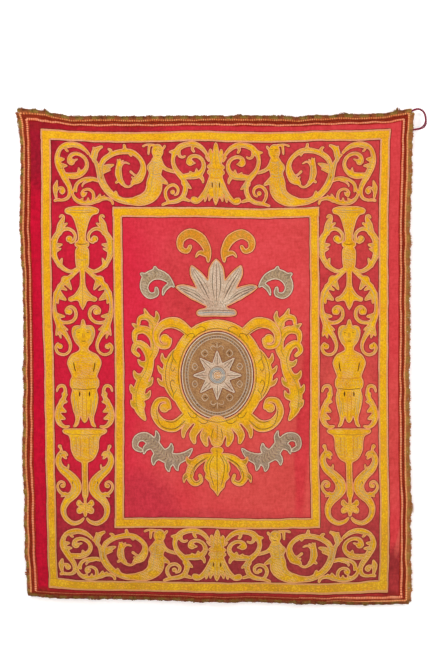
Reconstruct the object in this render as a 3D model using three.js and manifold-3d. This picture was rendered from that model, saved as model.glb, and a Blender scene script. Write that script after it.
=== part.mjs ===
// Appliqué wall tapestry in its hung shape: a crimson wool cloth with laid-on yellow scrollwork,
// striped galloon, wool fringe and a cord loop. Units are millimetres, +Z is up, the front faces -Y.
// The origin is the middle of the ground cloth's top edge.
//
// The pattern is laid out flat. An x runs right from the axis and a down runs below the top edge.
// hang() then moves each flat place to where the slack, uneven cloth has it on the wall.

import * as THREE from 'three';
import { mergeVertices } from 'three/addons/utils/BufferGeometryUtils.js';
import Module from 'manifold-3d';

const wasm = await Module();
wasm.setup();

// ---------- driving dimensions ----------
const clothHalfWidth = 963;
const clothHeight = 2432;
const clothThick = 2;
const skinThick = 1.5;              // a laid-on cloth
const gap = 0.3;                    // clearance between sewn pieces
const galloonWidth = 36;
const bottomGalloon = 11;           // the rest of the bottom galloon is turned under
const fringeReach = 20;             // mean length of the fringe past the cloth
const fringeHeading = 7;            // the band that the fringe hangs from
const fringePitch = 230;
const fringeStart = 14;             // the side fringes stop this far short of the corners
const outerFrame = { halfWidth: 873, top: 68, bottom: 2400, band: 47 };
const innerFrame = { halfWidth: 520, top: 450, bottom: 2070, band: 46 };
const borderTop = outerFrame.top + outerFrame.band + 1;
const borderBottom = innerFrame.bottom + 2;
const borderHalf = 818;             // border rows run from here to the axis
const bottomSquash = 0.85;          // the bottom border is lower than the top one
const columnAxis = 673;
const columnTop = innerFrame.top;
const medallionDown = 1300;
const cordAllowance = 3;            // cloth is cut this much inside the row's width, for its edging cord
const smallestWidth = 4;
const cutReach = 60;                // how far a cutter goes to each side of the wall's plane
const scrollStep = 74;              // along a scroll
const discSides = 8;
const wideDiscSides = 24;           // of the ring and of a disc over wideDisc in radius
const wideDisc = 60;
const bluntEnd = 8;                 // a stroke's end with at least this half width gets a pointed tip
const loopCord = 6;
const loopClearance = 1.6;          // between the cloth and the loop's sewn ends

// ---------- how the cloth hangs ----------
// how far the pattern has drifted sideways, by height, at five upright lines of the pattern
const sideLines = [-985, -873, -520, 520, 985];
const sideDrift = [
  { down: 0, edgeLeft: -22, frameLeft: -12, fieldLeft: -2, fieldRight: 3, edgeRight: 18 },
  { down: 235, edgeLeft: -13, frameLeft: -11, fieldLeft: 0, fieldRight: 5, edgeRight: 8 },
  { down: 540, edgeLeft: -10, frameLeft: -10, fieldLeft: 1, fieldRight: 4, edgeRight: 0 },
  { down: 920, edgeLeft: 6, frameLeft: -8, fieldLeft: 6, fieldRight: 4, edgeRight: -2 },
  { down: 1325, edgeLeft: 6, frameLeft: 5, fieldLeft: 11, fieldRight: 3, edgeRight: -4 },
  { down: 1730, edgeLeft: 2, frameLeft: 10, fieldLeft: 11, fieldRight: 2, edgeRight: 0 },
  { down: 1930, edgeLeft: 10, frameLeft: 19, fieldLeft: 11, fieldRight: 4, edgeRight: 4 },
  { down: 2175, edgeLeft: 20, frameLeft: 26, fieldLeft: 11, fieldRight: 4, edgeRight: 4 },
  { down: 2432, edgeLeft: 34, frameLeft: 33, fieldLeft: 11, fieldRight: 2, edgeRight: 0 },
];
// how far the pattern has risen, by place across, at its level lines
const riseLines = [0, 90, 450, 2070, 2380, 2432];
const rise = [
  { across: -985, topEdge: 36, frameTop: 14, frameBottom: 30, bottomEdge: 36 },
  { across: -870, topEdge: 22, frameTop: 12, frameBottom: 25, bottomEdge: 24 },
  { across: -700, topEdge: 0, frameTop: 6, frameBottom: 16, bottomEdge: 19 },
  { across: -400, topEdge: -5, frameTop: 0, frameBottom: 6, bottomEdge: 12 },
  { across: 0, topEdge: 0, frameTop: 0, frameBottom: 0, bottomEdge: 0 },
  { across: 200, topEdge: 0, frameTop: -5, frameBottom: 0, bottomEdge: 0 },
  { across: 400, topEdge: -4, frameTop: 4, frameBottom: -3, bottomEdge: -6 },
  { across: 600, topEdge: 5, frameTop: 6, frameBottom: -7, bottomEdge: -14 },
  { across: 800, topEdge: 10, frameTop: 13, frameBottom: -1, bottomEdge: -12 },
  { across: 985, topEdge: 34, frameTop: 20, frameBottom: 2, bottomEdge: -11 },
];
// soft folds: each runs along a line, and pushes the cloth forward, or back where it is negative
const folds = [
  { fromX: 450, fromDown: 1230, toX: 376, toDown: 2040, width: 52, forward: -12 },
  { fromX: 395, fromDown: 1260, toX: 316, toDown: 2050, width: 60, forward: 9 },
  { fromX: 940, fromDown: 1990, toX: 864, toDown: 2330, width: 50, forward: 10 },
  { fromX: -926, fromDown: 60, toX: -884, toDown: 1430, width: 60, forward: 8 },
  { fromX: -640, fromDown: 0, toX: -600, toDown: 420, width: 85, forward: 8 },
  { fromX: -300, fromDown: 0, toX: -330, toDown: 460, width: 95, forward: -6 },
  { fromX: 120, fromDown: 0, toX: 90, toDown: 420, width: 110, forward: 6 },
  { fromX: 560, fromDown: 0, toX: 600, toDown: 520, width: 85, forward: 8 },
  { fromX: 800, fromDown: 0, toX: 770, toDown: 380, width: 70, forward: -6 },
  { fromX: 966, fromDown: 0, toX: 900, toDown: 200, width: 70, forward: 12 },
  { fromX: -700, fromDown: 2432, toX: -650, toDown: 1950, width: 80, forward: 10 },
  { fromX: -360, fromDown: 2432, toX: -330, toDown: 2050, width: 90, forward: -8 },
  { fromX: 40, fromDown: 2432, toX: 60, toDown: 2100, width: 90, forward: 9 },
  { fromX: 470, fromDown: 2432, toX: 430, toDown: 2000, width: 80, forward: 8 },
  { fromX: 960, fromDown: 800, toX: 930, toDown: 1500, width: 70, forward: 7 },
  { fromX: -560, fromDown: 700, toX: -500, toDown: 1800, width: 120, forward: 5 },
];

// the lines that the cloth is faceted on: the bands' edges, and closer lines where it folds
const xLines = [
  -963, -927, -873, -826, -673, -520, -474, -230, 0, 220, 300, 360, 420, 474, 520, 673, 826, 873, 927, 963,
];
const downLines = [
  0, 36, 68, 115, 280, 450, 496, 750, 1010, 1270, 1480, 1680, 1860, 2024, 2070, 2220, 2353, 2400, 2421, 2432,
];

// the weight that eases from 0 to 1
const ease = (t) => t * t * (3 - 2 * t);

// reads evenly eased values between the places of a rising list
function between(places, values, at) {
  let i = 0;
  while (i < places.length - 2 && at > places[i + 1]) i += 1;
  const t = THREE.MathUtils.clamp((at - places[i]) / (places[i + 1] - places[i]), 0, 1);
  return THREE.MathUtils.lerp(values[i], values[i + 1], ease(t));
}

function driftAt(x, down) {
  const heights = sideDrift.map((row) => row.down);
  const column = (name) => between(heights, sideDrift.map((row) => row[name]), down);
  const names = ['edgeLeft', 'frameLeft', 'fieldLeft', 'fieldRight', 'edgeRight'];
  return between(sideLines, names.map(column), x);
}

function riseAt(x, down) {
  const places = rise.map((row) => row.across);
  const level = (name) => between(places, rise.map((row) => row[name]), x);
  const values = [level('topEdge'), level('frameTop'), 0, 0, level('frameBottom'), level('bottomEdge')];
  return between(riseLines, values, down);
}

function forwardAt(x, down) {
  let forward = 3 * Math.sin(x / 260 + down / 900) + 3 * Math.sin(down / 330 - x / 700);
  for (const fold of folds) {
    const alongX = fold.toX - fold.fromX;
    const alongDown = fold.toDown - fold.fromDown;
    const long = Math.hypot(alongX, alongDown);
    const t = ((x - fold.fromX) * alongX + (down - fold.fromDown) * alongDown) / long ** 2;
    const off = ((x - fold.fromX) * alongDown - (down - fold.fromDown) * alongX) / long;
    const fade = ease(THREE.MathUtils.clamp(1.25 - Math.abs(t - 0.35), 0, 1));
    forward += fold.forward * fade * Math.exp(-((off / fold.width) ** 2));
  }
  return forward * ease(THREE.MathUtils.clamp(down / 160, 0.15, 1));
}

// the cloth's front face at a flat place
function hang(x, down) {
  return new THREE.Vector3(x + driftAt(x, down), -forwardAt(x, down), riseAt(x, down) - down);
}

// ---------- the ornament's rows ----------
// path: a scroll's or leaf's line, with its widths evenly spread along it, edging cord included
// disc, ring, star: round shapes; half: an outline's right half; twin: a row that is also mirrored
// Border rows: x from the frame's inner edge to the axis, y down. Column rows: x from the column's axis.
// Field rows: x from the axis, y down from the medallion's centre.
const cornerScroll = [
  { path: [[10, 297], [50, 297], [77, 285], [87, 258], [82, 225], [58, 180], [34, 130], [24, 90],
      [38, 45], [68, 24], [102, 18], [138, 27], [166, 48], [186, 72]],
    width: [12, 15, 19, 22, 26, 33, 36, 26, 22, 28, 29, 26, 18, 12] },
  { path: [[62, 172], [104, 176], [138, 168], [164, 144], [172, 115], [162, 88], [138, 69], [110, 65],
      [89, 80], [85, 104]],
    width: [24, 34, 30, 23, 20, 19, 19, 20, 22, 26] },
];

const smallScroll = [
  { path: [[232, 202], [208, 192], [176, 190], [145, 198], [122, 215], [114, 238], [120, 258]],
    width: [16, 22, 20, 18, 18, 20, 8] },
  { path: [[98, 262], [112, 290], [138, 308], [172, 313], [204, 306], [236, 292], [268, 289],
      [292, 300], [298, 318]],
    width: [12, 20, 24, 24, 24, 26, 18, 15, 13] },
  { path: [[118, 222], [108, 246], [98, 264]], width: [16, 14, 12] },
  { path: [[100, 262], [92, 240], [88, 228]], width: [10, 12, 12] },
];

const calyxStem = [
  { path: [[184, 70], [200, 86], [217, 110], [232, 150], [241, 192], [262, 236], [298, 274], [346, 300],
      [396, 303]],
    width: [12, 14, 20, 32, 36, 36, 33, 31, 40] },
  { path: [[236, 132], [252, 94], [282, 69], [318, 53], [356, 46], [392, 50], [418, 66], [440, 90],
      [451, 120], [447, 155], [428, 188], [400, 206]],
    width: [20, 28, 27, 26, 30, 27, 24, 23, 26, 38, 46, 26] },
  { path: [[314, 284], [312, 250]], width: [36, 9] },
];

const halfFigure = [
  { disc: [524, 48], radius: 30, tall: 38 },
  { path: [[522, 78], [520, 104], [517, 132], [514, 164], [511, 200], [506, 236], [490, 268],
      [456, 292], [412, 302]],
    width: [40, 66, 70, 58, 74, 84, 76, 64, 48] },
];

const innerScroll = [
  { path: [[548, 320], [580, 308], [620, 301], [650, 282], [664, 244], [661, 206], [644, 178],
      [620, 150], [606, 120], [602, 86], [614, 54], [640, 28], [674, 17], [710, 17], [743, 34],
      [766, 60], [782, 90]],
    width: [14, 19, 24, 26, 26, 24, 30, 26, 22, 21, 27, 32, 27, 28, 25, 19, 14] },
  { path: [[652, 178], [690, 176], [726, 172], [752, 146], [757, 116], [741, 88], [711, 76], [686, 86],
      [680, 108]],
    width: [24, 35, 34, 25, 21, 19, 19, 22, 26] },
  { path: [[648, 286], [687, 301]], width: [24, 13] },
];

const palmette = [
  { half: [[0, 6], [16, 44], [32, 42], [38, 84], [44, 130], [36, 170], [40, 236], [24, 290], [0, 322]] },
  { path: [[24, 190], [34, 224], [54, 262], [78, 290], [100, 306], [120, 298], [116, 284]],
    width: [28, 34, 30, 26, 22, 18, 14],
    twin: true },
];

const vase = [
  { half: [[0, -4], [82, 8], [78, 30], [40, 62], [24, 110], [22, 170], [36, 186], [34, 216], [34, 290],
      [15, 318], [14, 384], [40, 440], [70, 460], [23, 474], [0, 520]] },
];

const upperScroll = [
  { path: [[22, 312], [56, 325], [98, 305], [129, 264], [142, 215], [136, 166], [112, 126], [80, 108],
      [50, 116], [32, 142], [38, 168], [56, 178]],
    width: [24, 19, 24, 26, 36, 34, 26, 20, 17, 17, 18, 14] },
];

const lowerScroll = [
  { path: [[18, 318], [58, 350], [102, 390], [132, 440], [140, 500], [136, 545], [122, 580], [110, 614],
      [84, 650], [66, 694], [74, 730], [100, 746], [130, 736], [140, 708], [128, 690]],
    width: [14, 24, 28, 26, 18, 28, 36, 36, 24, 18, 14, 15, 16, 17, 16] },
  { path: [[126, 574], [92, 584], [56, 578], [34, 552], [38, 518], [60, 502], [82, 518], [80, 538]],
    width: [22, 18, 18, 18, 18, 17, 16, 12] },
];

const bust = [
  { half: [[0, 566], [16, 600], [52, 606], [56, 650], [24, 712], [68, 748], [86, 784], [64, 856],
      [73, 900], [68, 966], [48, 1060], [52, 1104], [20, 1070], [0, 1092]] },
];

const fern = [
  { path: [[140, 934], [130, 908], [106, 904], [96, 926], [102, 962], [124, 1006], [136, 1050],
      [128, 1090], [102, 1112], [78, 1108]],
    width: [10, 16, 18, 18, 24, 30, 32, 26, 18, 12] },
];

const goblet = [
  { half: [[0, 1122], [107, 1126], [84, 1154], [72, 1220], [44, 1276], [16, 1300], [16, 1454],
      [9, 1480], [40, 1484], [34, 1516], [44, 1546], [8, 1560], [0, 1566]] },
];

const dolphin = [
  { path: [[124, 1214], [118, 1232], [128, 1256], [134, 1286], [116, 1324], [78, 1358], [50, 1392],
      [46, 1424], [62, 1452], [94, 1484], [114, 1524], [104, 1570], [66, 1598], [26, 1590], [8, 1572]],
    width: [14, 14, 30, 32, 38, 46, 54, 56, 48, 40, 32, 26, 24, 20, 12] },
];

const ring = [
  { ring: [0, 0], radius: 216, tall: 254, width: 58 },
  { path: [[136, -214], [200, -262], [272, -250], [300, -190], [244, -160]],
    width: [44, 62, 48, 34, 26],
    twin: true },
  { path: [[160, 206], [218, 256], [290, 238], [314, 176], [252, 140]],
    width: [44, 64, 50, 36, 26],
    twin: true },
  { path: [[216, -122], [246, -66], [256, 0], [246, 62], [216, 120]],
    width: [24, 44, 58, 44, 24],
    twin: true },
  { path: [[0, 262], [0, 330]], width: [120, 70] },
];

const oval = [
  { disc: [0, 0], radius: 182, tall: 220 },
];

const rosette = [
  { star: [0, 0], points: 8, radius: 126, inner: 62 },
];

const crest = [
  { half: [[0, -300], [84, -300], [100, -322], [56, -340], [56, -384], [0, -386]] },
  { path: [[0, -360], [0, -460], [0, -540], [0, -584]], width: [50, 96, 78, 16] },
  { path: [[30, -366], [66, -450], [108, -516], [124, -552]], width: [36, 78, 56, 14], twin: true },
  { path: [[48, -362], [112, -412], [174, -440], [204, -446]], width: [30, 66, 44, 12], twin: true },
];

const flame = [
  { path: [[40, -576], [42, -628], [74, -690], [130, -718], [176, -690], [178, -644], [146, -628],
      [130, -652]],
    width: [16, 38, 52, 52, 42, 32, 26, 22] },
];

const plume = [
  { path: [[216, -448], [252, -492], [306, -512], [352, -488], [366, -440], [340, -404], [304, -412],
      [304, -440]],
    width: [14, 40, 56, 54, 42, 34, 28, 20] },
];

const spray = [
  { path: [[368, 224], [396, 172], [402, 106], [386, 40], [356, -18], [344, -84], [366, -140],
      [404, -160], [424, -126], [400, -100]],
    width: [18, 52, 66, 62, 52, 46, 44, 36, 28, 22] },
  { path: [[374, 50], [342, 40], [330, 8]], width: [44, 28, 8] },
];

const grayLeaf = [
  { path: [[128, 372], [164, 408], [220, 424], [280, 402], [322, 350], [366, 312], [408, 322],
      [416, 362], [388, 380]],
    width: [12, 44, 62, 64, 56, 50, 40, 30, 24] },
];

const pendant = [
  { half: [[0, 362], [34, 376], [42, 412], [70, 474], [58, 526], [0, 612]] },
  { path: [[34, 406], [84, 424], [126, 462], [142, 512], [116, 548], [82, 534], [88, 506]],
    width: [28, 46, 50, 38, 30, 24, 20],
    twin: true },
];

// ---------- shapes ----------
// makes a manifold solid of a closed geometry
function solidOf(geometry) {
  const plain = geometry.index ? geometry.toNonIndexed() : geometry;
  plain.deleteAttribute('normal');
  plain.deleteAttribute('uv');
  const merged = mergeVertices(plain, 1e-4);
  const vertProperties = new Float32Array(merged.attributes.position.array);
  const triVerts = new Uint32Array(merged.index.array);
  return new wasm.Manifold(new wasm.Mesh({ numProp: 3, vertProperties, triVerts }));
}

function geometryOf(solid) {
  const { vertProperties, triVerts } = solid.getMesh();
  const geometry = new THREE.BufferGeometry();
  geometry.setAttribute('position', new THREE.BufferAttribute(new Float32Array(vertProperties), 3));
  geometry.setIndex(new THREE.BufferAttribute(new Uint32Array(triVerts), 1));
  geometry.computeVertexNormals();
  return geometry;
}

const evenly = (from, to, steps) => Array.from({ length: steps + 1 }, (_, i) => from + ((to - from) * i) / steps);
const past = fringeReach * 2;
const wideX = [-clothHalfWidth - past, ...xLines, clothHalfWidth + past];
const wideDown = [-past, ...downLines, clothHeight + past];
const corners = wideDown.map((down) => wideX.map((x) => hang(x, down)));

// a flat place on the faceted cloth: each cell is split from its lower left to its upper right
function onCloth(x, down) {
  const cell = (lines, at) => {
    let i = 0;
    while (i < lines.length - 2 && at > lines[i + 1]) i += 1;
    return [i, (at - lines[i]) / (lines[i + 1] - lines[i])];
  };
  const [i, across] = cell(wideX, x);
  const [j, along] = cell(wideDown, down);
  const [upperRight, lowerLeft] = [corners[j][i + 1], corners[j + 1][i]];
  const upper = across + along < 1;
  const third = upper ? corners[j][i] : corners[j + 1][i + 1];
  const [toRight, toLeft] = upper ? [across, along] : [1 - along, 1 - across];
  const place = third.clone().multiplyScalar(1 - toRight - toLeft);
  return place.addScaledVector(upperRight, toRight).addScaledVector(lowerLeft, toLeft);
}

// a hung sheet between two depths behind the cloth's front face, on a grid of flat lines
function sheet(acrossLines, alongLines, nearer, farther) {
  const across = acrossLines.length;
  const grid = new THREE.PlaneGeometry(1, 1, across - 1, alongLines.length - 1);
  const near = alongLines.flatMap((down) => acrossLines.map((x) => onCloth(x, down)));
  const points = [nearer, farther].flatMap((depth) => near.flatMap((p) => [p.x, p.y + depth, p.z]));
  const count = near.length;
  const front = Array.from(grid.index.array);
  const faces = [...front];
  for (let i = 0; i < front.length; i += 3) {
    faces.push(front[i] + count, front[i + 2] + count, front[i + 1] + count);
  }
  // the rim, once round the grid
  const rim = [];
  for (let i = 0; i < across; i += 1) rim.push(i);
  for (let j = 1; j < alongLines.length; j += 1) rim.push(j * across + across - 1);
  for (let i = across - 2; i >= 0; i -= 1) rim.push((alongLines.length - 1) * across + i);
  for (let j = alongLines.length - 2; j > 0; j -= 1) rim.push(j * across);
  rim.forEach((a, k) => {
    const b = rim[(k + 1) % rim.length];
    faces.push(a, b, b + count, a, b + count, a + count);
  });
  const geometry = new THREE.BufferGeometry();
  geometry.setAttribute('position', new THREE.Float32BufferAttribute(points, 3));
  geometry.setIndex(faces);
  return solidOf(geometry);
}

const ground = sheet(xLines, downLines, 0, clothThick);
const skin = sheet(wideX, wideDown, -gap - skinThick, -gap);
const upperSkin = sheet(wideX, wideDown, -2 * (gap + skinThick), -2 * gap - skinThick);
const edgeSheet = sheet(wideX, wideDown, 0, clothThick);

// a cutter right through the cloth, of a flat outline as [x, down] points
function cutter(outline) {
  const hung = outline.map(([x, down]) => onCloth(x, down));
  const shape = new THREE.Shape(hung.map((p) => new THREE.Vector2(p.x, p.z)));
  const geometry = new THREE.ExtrudeGeometry(shape, { depth: 2 * cutReach, bevelEnabled: false });
  geometry.rotateX(Math.PI / 2);
  geometry.translate(0, cutReach, 0);
  return solidOf(geometry);
}

// the flat outlines of one row, each convex or simple, with the cloth cut wider by margin
function outlinesOf(row, margin) {
  const trim = margin - cordAllowance;
  if (row.disc) return [ellipse(row.disc, row.radius + trim, (row.tall ?? row.radius) + trim)];
  if (row.ring) return ringParts(row, trim);
  if (row.star) return [starOutline(row, margin)];
  if (row.half) return halfParts(row.half, trim);
  return strokeParts(row.path, row.width, margin);
}

function ellipse([x, y], radius, tall, sides = radius > wideDisc ? wideDiscSides : discSides) {
  const turns = evenly(0, 2 * Math.PI, sides).slice(0, -1);
  return turns.map((a) => [x + radius * Math.cos(a), y + tall * Math.sin(a)]);
}

function starOutline({ star: [x, y], points, radius, inner }, margin) {
  const turns = evenly(0, 2 * Math.PI, points * 2).slice(0, -1);
  return turns.map((a, i) => {
    const reach = (i % 2 ? inner : radius) + margin;
    return [x + reach * Math.sin(a), y + reach * Math.cos(a)];
  });
}

function ringParts({ ring: [x, y], radius, tall, width }, trim) {
  const half = width / 2 + trim;
  const turns = evenly(0, 2 * Math.PI, wideDiscSides);
  const at = (a, out) => [x + (radius + out) * Math.cos(a), y + (tall + out) * Math.sin(a)];
  return turns.slice(1).map((b, i) => [at(turns[i], -half), at(turns[i], half), at(b, half), at(b, -half)]);
}

// an outline given for the right half, and mirrored
function halfParts(half, trim) {
  const right = half.map(([x, y]) => [Math.max(x + trim, x > 0 ? 1 : 0), y]);
  const left = right.slice(1, -1).reverse().map(([x, y]) => [-x, y]);
  return [[...right, ...left]];
}

// a scroll or a leaf: quads along a smooth line, with pointed ends where it is wide
function strokeParts(path, width, margin) {
  const curve = new THREE.SplineCurve(path.map(([x, y]) => new THREE.Vector2(x, y)));
  const steps = Math.max(2, Math.ceil(curve.getLength() / scrollStep));
  const ribs = evenly(0, 1, steps).map((t) => {
    const along = curve.getPoint(Math.min(t + 0.01, 1)).sub(curve.getPoint(Math.max(t - 0.01, 0))).normalize();
    const outward = t === 0 ? -margin : t === 1 ? margin : 0;
    const centre = curve.getPoint(t).addScaledVector(along, outward);
    const place = t * (width.length - 1);
    const low = Math.min(Math.floor(place), width.length - 2);
    const across = THREE.MathUtils.lerp(width[low], width[low + 1], place - low);
    const half = Math.max(across / 2 - cordAllowance, smallestWidth / 2) + margin;
    return { centre, half, side: [-along.y * half, along.x * half] };
  });
  const edge = ({ centre, side }, sign) => [centre.x + sign * side[0], centre.y + sign * side[1]];
  const quads = ribs.slice(1).map((b, i) => [edge(ribs[i], 1), edge(ribs[i], -1), edge(b, -1), edge(b, 1)]);
  const tips = [{ rib: ribs[0], way: -1 }, { rib: ribs[steps], way: 1 }].filter(({ rib }) => rib.half > bluntEnd);
  const tip = ({ rib, way }) => {
    const point = [rib.centre.x + way * rib.side[1], rib.centre.y - way * rib.side[0]];
    return [edge(rib, 1), edge(rib, -1), point];
  };
  return [...quads, ...tips.map(tip)];
}

// ---------- pieces ----------
const tapestry = new THREE.Group();
tapestry.name = 'appliqué wall tapestry';
const finishes = {
  crimson: { color: 0xb8253c, roughness: 0.95 },
  yellow: { color: 0xe3a322, roughness: 0.9 },
  galloon: { color: 0xa8502a, roughness: 0.85 },
  fringe: { color: 0x7d6634, roughness: 0.95 },
  cord: { color: 0x7c2334, roughness: 0.8 },
  cream: { color: 0xc9a688, roughness: 0.9 },
  brown: { color: 0xa87c4e, roughness: 0.9 },
  gray: { color: 0x9c8378, roughness: 0.9 },
  orange: { color: 0xdc8526, roughness: 0.9 },
};
const cloths = {};
for (const [name, look] of Object.entries(finishes)) {
  cloths[name] = new THREE.MeshStandardMaterial({ ...look, metalness: 0 });
}

function addMesh(name, geometry, cloth) {
  const mesh = new THREE.Mesh(geometry, cloths[cloth]);
  mesh.name = name;
  tapestry.add(mesh);
}

const apart = (a, b) => {
  const [one, two] = [a.boundingBox(), b.boundingBox()];
  return one.max.some((top, k) => top < two.min[k]) || two.max.some((top, k) => top < one.min[k]);
};

// a cloth cut to flat outlines, kept clear of what is already laid, and shaped by a hung sheet
const laid = [];
function layOn(name, cloth, plain, widened, from = skin) {
  let cut = plain;
  const inTheWay = from === skin ? laid.filter((other) => !apart(plain, other)) : [];
  for (const other of inTheWay) cut = cut.subtract(other);
  const bodies = cut.intersect(from).decompose();
  bodies.sort((a, b) => b.volume() - a.volume());
  addMesh(name, geometryOf(bodies[0]), cloth);
  if (from === skin) laid.push(widened);
}

const joined = (outlines) => wasm.Manifold.union(outlines.map(cutter));

// a piece of ornament: its rows, each placed on the flat pattern by place(x, y)
function ornament(name, cloth, rows, place, from) {
  const outlines = (margin) => rows.flatMap((row) => {
    const one = outlinesOf(row, margin);
    const twin = row.twin ? one.map((outline) => outline.map(([x, y]) => [-x, y])) : [];
    return [...one, ...twin].map((outline) => outline.map(place));
  });
  layOn(name, cloth, joined(outlines(0)), joined(outlines(gap)), from);
}

// the faceting lines between two places, with the places themselves
const linesIn = (lines, from, to) => [from, ...lines.filter((at) => at > from + 1 && at < to - 1), to];

// a straight band along the flat pattern
function band(name, cloth, [left, top], [right, bottom]) {
  const inX = linesIn(xLines, left, right);
  const inDown = linesIn(downLines, top, bottom);
  addMesh(name, geometryOf(sheet(inX, inDown, -gap - skinThick, -gap)), cloth);
  const widenedX = linesIn(inX, left - gap, right + gap);
  const widenedDown = linesIn(inDown, top - gap, bottom + gap);
  laid.push(sheet(widenedX, widenedDown, -cutReach, cutReach));
}

// four bands that make a frame, the upright ones between the level ones
function bandFrame(prefix, cloth, halfWidth, top, bottom, wide, bottomWide = wide) {
  band(`${prefix}_top`, cloth, [-halfWidth, top], [halfWidth, top + wide]);
  band(`${prefix}_bottom`, cloth, [-halfWidth, bottom - bottomWide], [halfWidth, bottom]);
  const upright = [top + wide + gap, bottom - bottomWide - gap];
  band(`${prefix}_left`, cloth, [-halfWidth, upright[0]], [wide - halfWidth, upright[1]]);
  band(`${prefix}_right`, cloth, [halfWidth - wide, upright[0]], [halfWidth, upright[1]]);
}

// a comb of fringe along one edge, backed by that edge's lines: place(along, out) gives the flat place
function fringeComb(name, lines, reach, place) {
  const [first, last] = [lines[0], lines[lines.length - 1]];
  const ends = evenly(first, last, Math.round((last - first) / fringePitch));
  const outer = ends.slice(1).flatMap((to, i) => {
    const from = ends[i];
    const out = reach * (1 + 0.2 * Math.sin(i * 2.3) + 0.12 * Math.sin(i * 5.1));
    return [[from + 2, fringeHeading], [from + 4, out], [to - 4, out], [to - 2, fringeHeading]];
  });
  const backing = lines.map((along) => [along, gap]).reverse();
  const comb = cutter([...outer, ...backing].map(([along, out]) => place([along, out])));
  addMesh(name, geometryOf(comb.intersect(edgeSheet)), 'fringe');
}

addMesh('ground_cloth', geometryOf(ground), 'crimson');
bandFrame('galloon', 'galloon', clothHalfWidth, 0, clothHeight, galloonWidth, bottomGalloon);
bandFrame('frame_outer', 'yellow', outerFrame.halfWidth, outerFrame.top, outerFrame.bottom, outerFrame.band);
bandFrame('frame_inner', 'yellow', innerFrame.halfWidth, innerFrame.top, innerFrame.bottom, innerFrame.band);

const uprightLines = linesIn(downLines, fringeStart, clothHeight - fringeStart);
fringeComb('fringe_top', xLines, fringeReach, ([along, out]) => [along, -out]);
fringeComb('fringe_bottom', xLines, fringeReach * 0.8, ([along, out]) => [along, clothHeight + out]);
fringeComb('fringe_left', uprightLines, fringeReach, ([along, out]) => [-clothHalfWidth - out, along]);
fringeComb('fringe_right', uprightLines, fringeReach, ([along, out]) => [clothHalfWidth + out, along]);

const sides = [{ side: 'left', sign: -1 }, { side: 'right', sign: 1 }];
const borders = [
  { at: 'top', down: borderTop, squash: 1 },
  { at: 'bottom', down: borderBottom, squash: bottomSquash },
];
for (const { at, down, squash } of borders) {
  ornament(`${at}_palmette`, 'yellow', palmette, ([x, y]) => [x, down + y * squash]);
  for (const { side, sign } of sides) {
    const place = ([x, y]) => [sign * (borderHalf - x), down + y * squash];
    ornament(`${at}_inner_scroll_${side}`, 'yellow', innerScroll, place);
    ornament(`${at}_half_figure_${side}`, 'yellow', [...halfFigure, ...calyxStem], place);
    ornament(`${at}_corner_scroll_${side}`, 'yellow', [...cornerScroll, ...smallScroll], place);
  }
}

const mirrored = (rows) => rows.map((row) => ({ ...row, twin: true }));
for (const { side, sign } of sides) {
  const place = ([x, y]) => [sign * columnAxis + x, columnTop + y];
  const flipped = ([x, y]) => place([-x, y]);
  ornament(`column_vase_${side}`, 'yellow', [...vase, ...mirrored([...upperScroll, ...lowerScroll])], place);
  ornament(`column_bust_${side}`, 'yellow', bust, place);
  ornament(`column_goblet_${side}`, 'yellow', goblet, place);
  for (const { facing, put } of [{ facing: 'a', put: place }, { facing: 'b', put: flipped }]) {
    ornament(`column_fern_${side}_${facing}`, 'yellow', fern, put);
    ornament(`column_dolphin_${side}_${facing}`, 'yellow', dolphin, put);
  }
}

const centred = ([x, y]) => [x, medallionDown + y];
ornament('medallion_ring', 'yellow', ring, centred);
ornament('medallion_oval', 'brown', oval, centred);
ornament('medallion_rosette', 'cream', rosette, centred, upperSkin);
ornament('crest_fan', 'cream', crest, centred);
ornament('pendant_leaf', 'yellow', pendant, centred);
for (const { side, sign } of sides) {
  const place = ([x, y]) => centred([sign * x, y]);
  ornament(`flame_${side}`, 'orange', flame, place);
  ornament(`plume_${side}`, 'gray', plume, place);
  ornament(`spray_${side}`, 'yellow', spray, place);
  ornament(`lower_leaf_${side}`, 'gray', grayLeaf, place);
}

// the cord loop at the right top corner, with both ends sewn behind the cloth
function hangingLoop() {
  const corner = onCloth(clothHalfWidth, 0);
  const behind = clothThick + loopClearance + loopCord / 2;
  // its route out from the corner, as right, back and up
  const route = [
    [-30, behind, -30], [-14, behind, -17], [4, behind, -3], [17, 5.8, 6], [30, 3.2, 12], [44, 0.5, 14.5],
    [58, -2, 11], [72, -5, 1], [82, -7, -15], [86, -7.5, -34], [82, -7, -52], [70, -5, -68],
    [55, 0, -80], [38, 4.5, -87], [20, behind, -90], [2, behind, -91], [-16, behind, -90], [-32, behind, -87],
  ];
  const points = route.map(([right, back, up]) => {
    const edge = onCloth(clothHalfWidth + Math.min(right, 0), Math.max(-up, 0));
    return new THREE.Vector3(corner.x + right, edge.y + back, corner.z + up);
  });
  const section = ellipse([0, 0], loopCord / 2, loopCord / 2).map((point) => new THREE.Vector2(...point));
  const extrudePath = new THREE.CatmullRomCurve3(points);
  return new THREE.ExtrudeGeometry(new THREE.Shape(section), { steps: 20, extrudePath, bevelEnabled: false });
}
addMesh('hanging_loop', geometryOf(solidOf(hangingLoop())), 'cord');

export default tapestry;
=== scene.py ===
# Appliqué wall tapestry: crimson wool ground, laid-on yellow scrollwork edged with cord,
# striped galloon, wool fringe and a hanging loop of cord at the right top corner.
# The pattern is laid out flat in millimetres, x from the axis and down from the top edge,
# and drape() then hangs it in metres as the slack, uneven cloth has it. Only the loop is made hung.

import math
import random
from collections import Counter

import bmesh
import bpy
import numpy as np
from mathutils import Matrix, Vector
from mathutils.geometry import delaunay_2d_cdt
from mathutils.kdtree import KDTree


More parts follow.
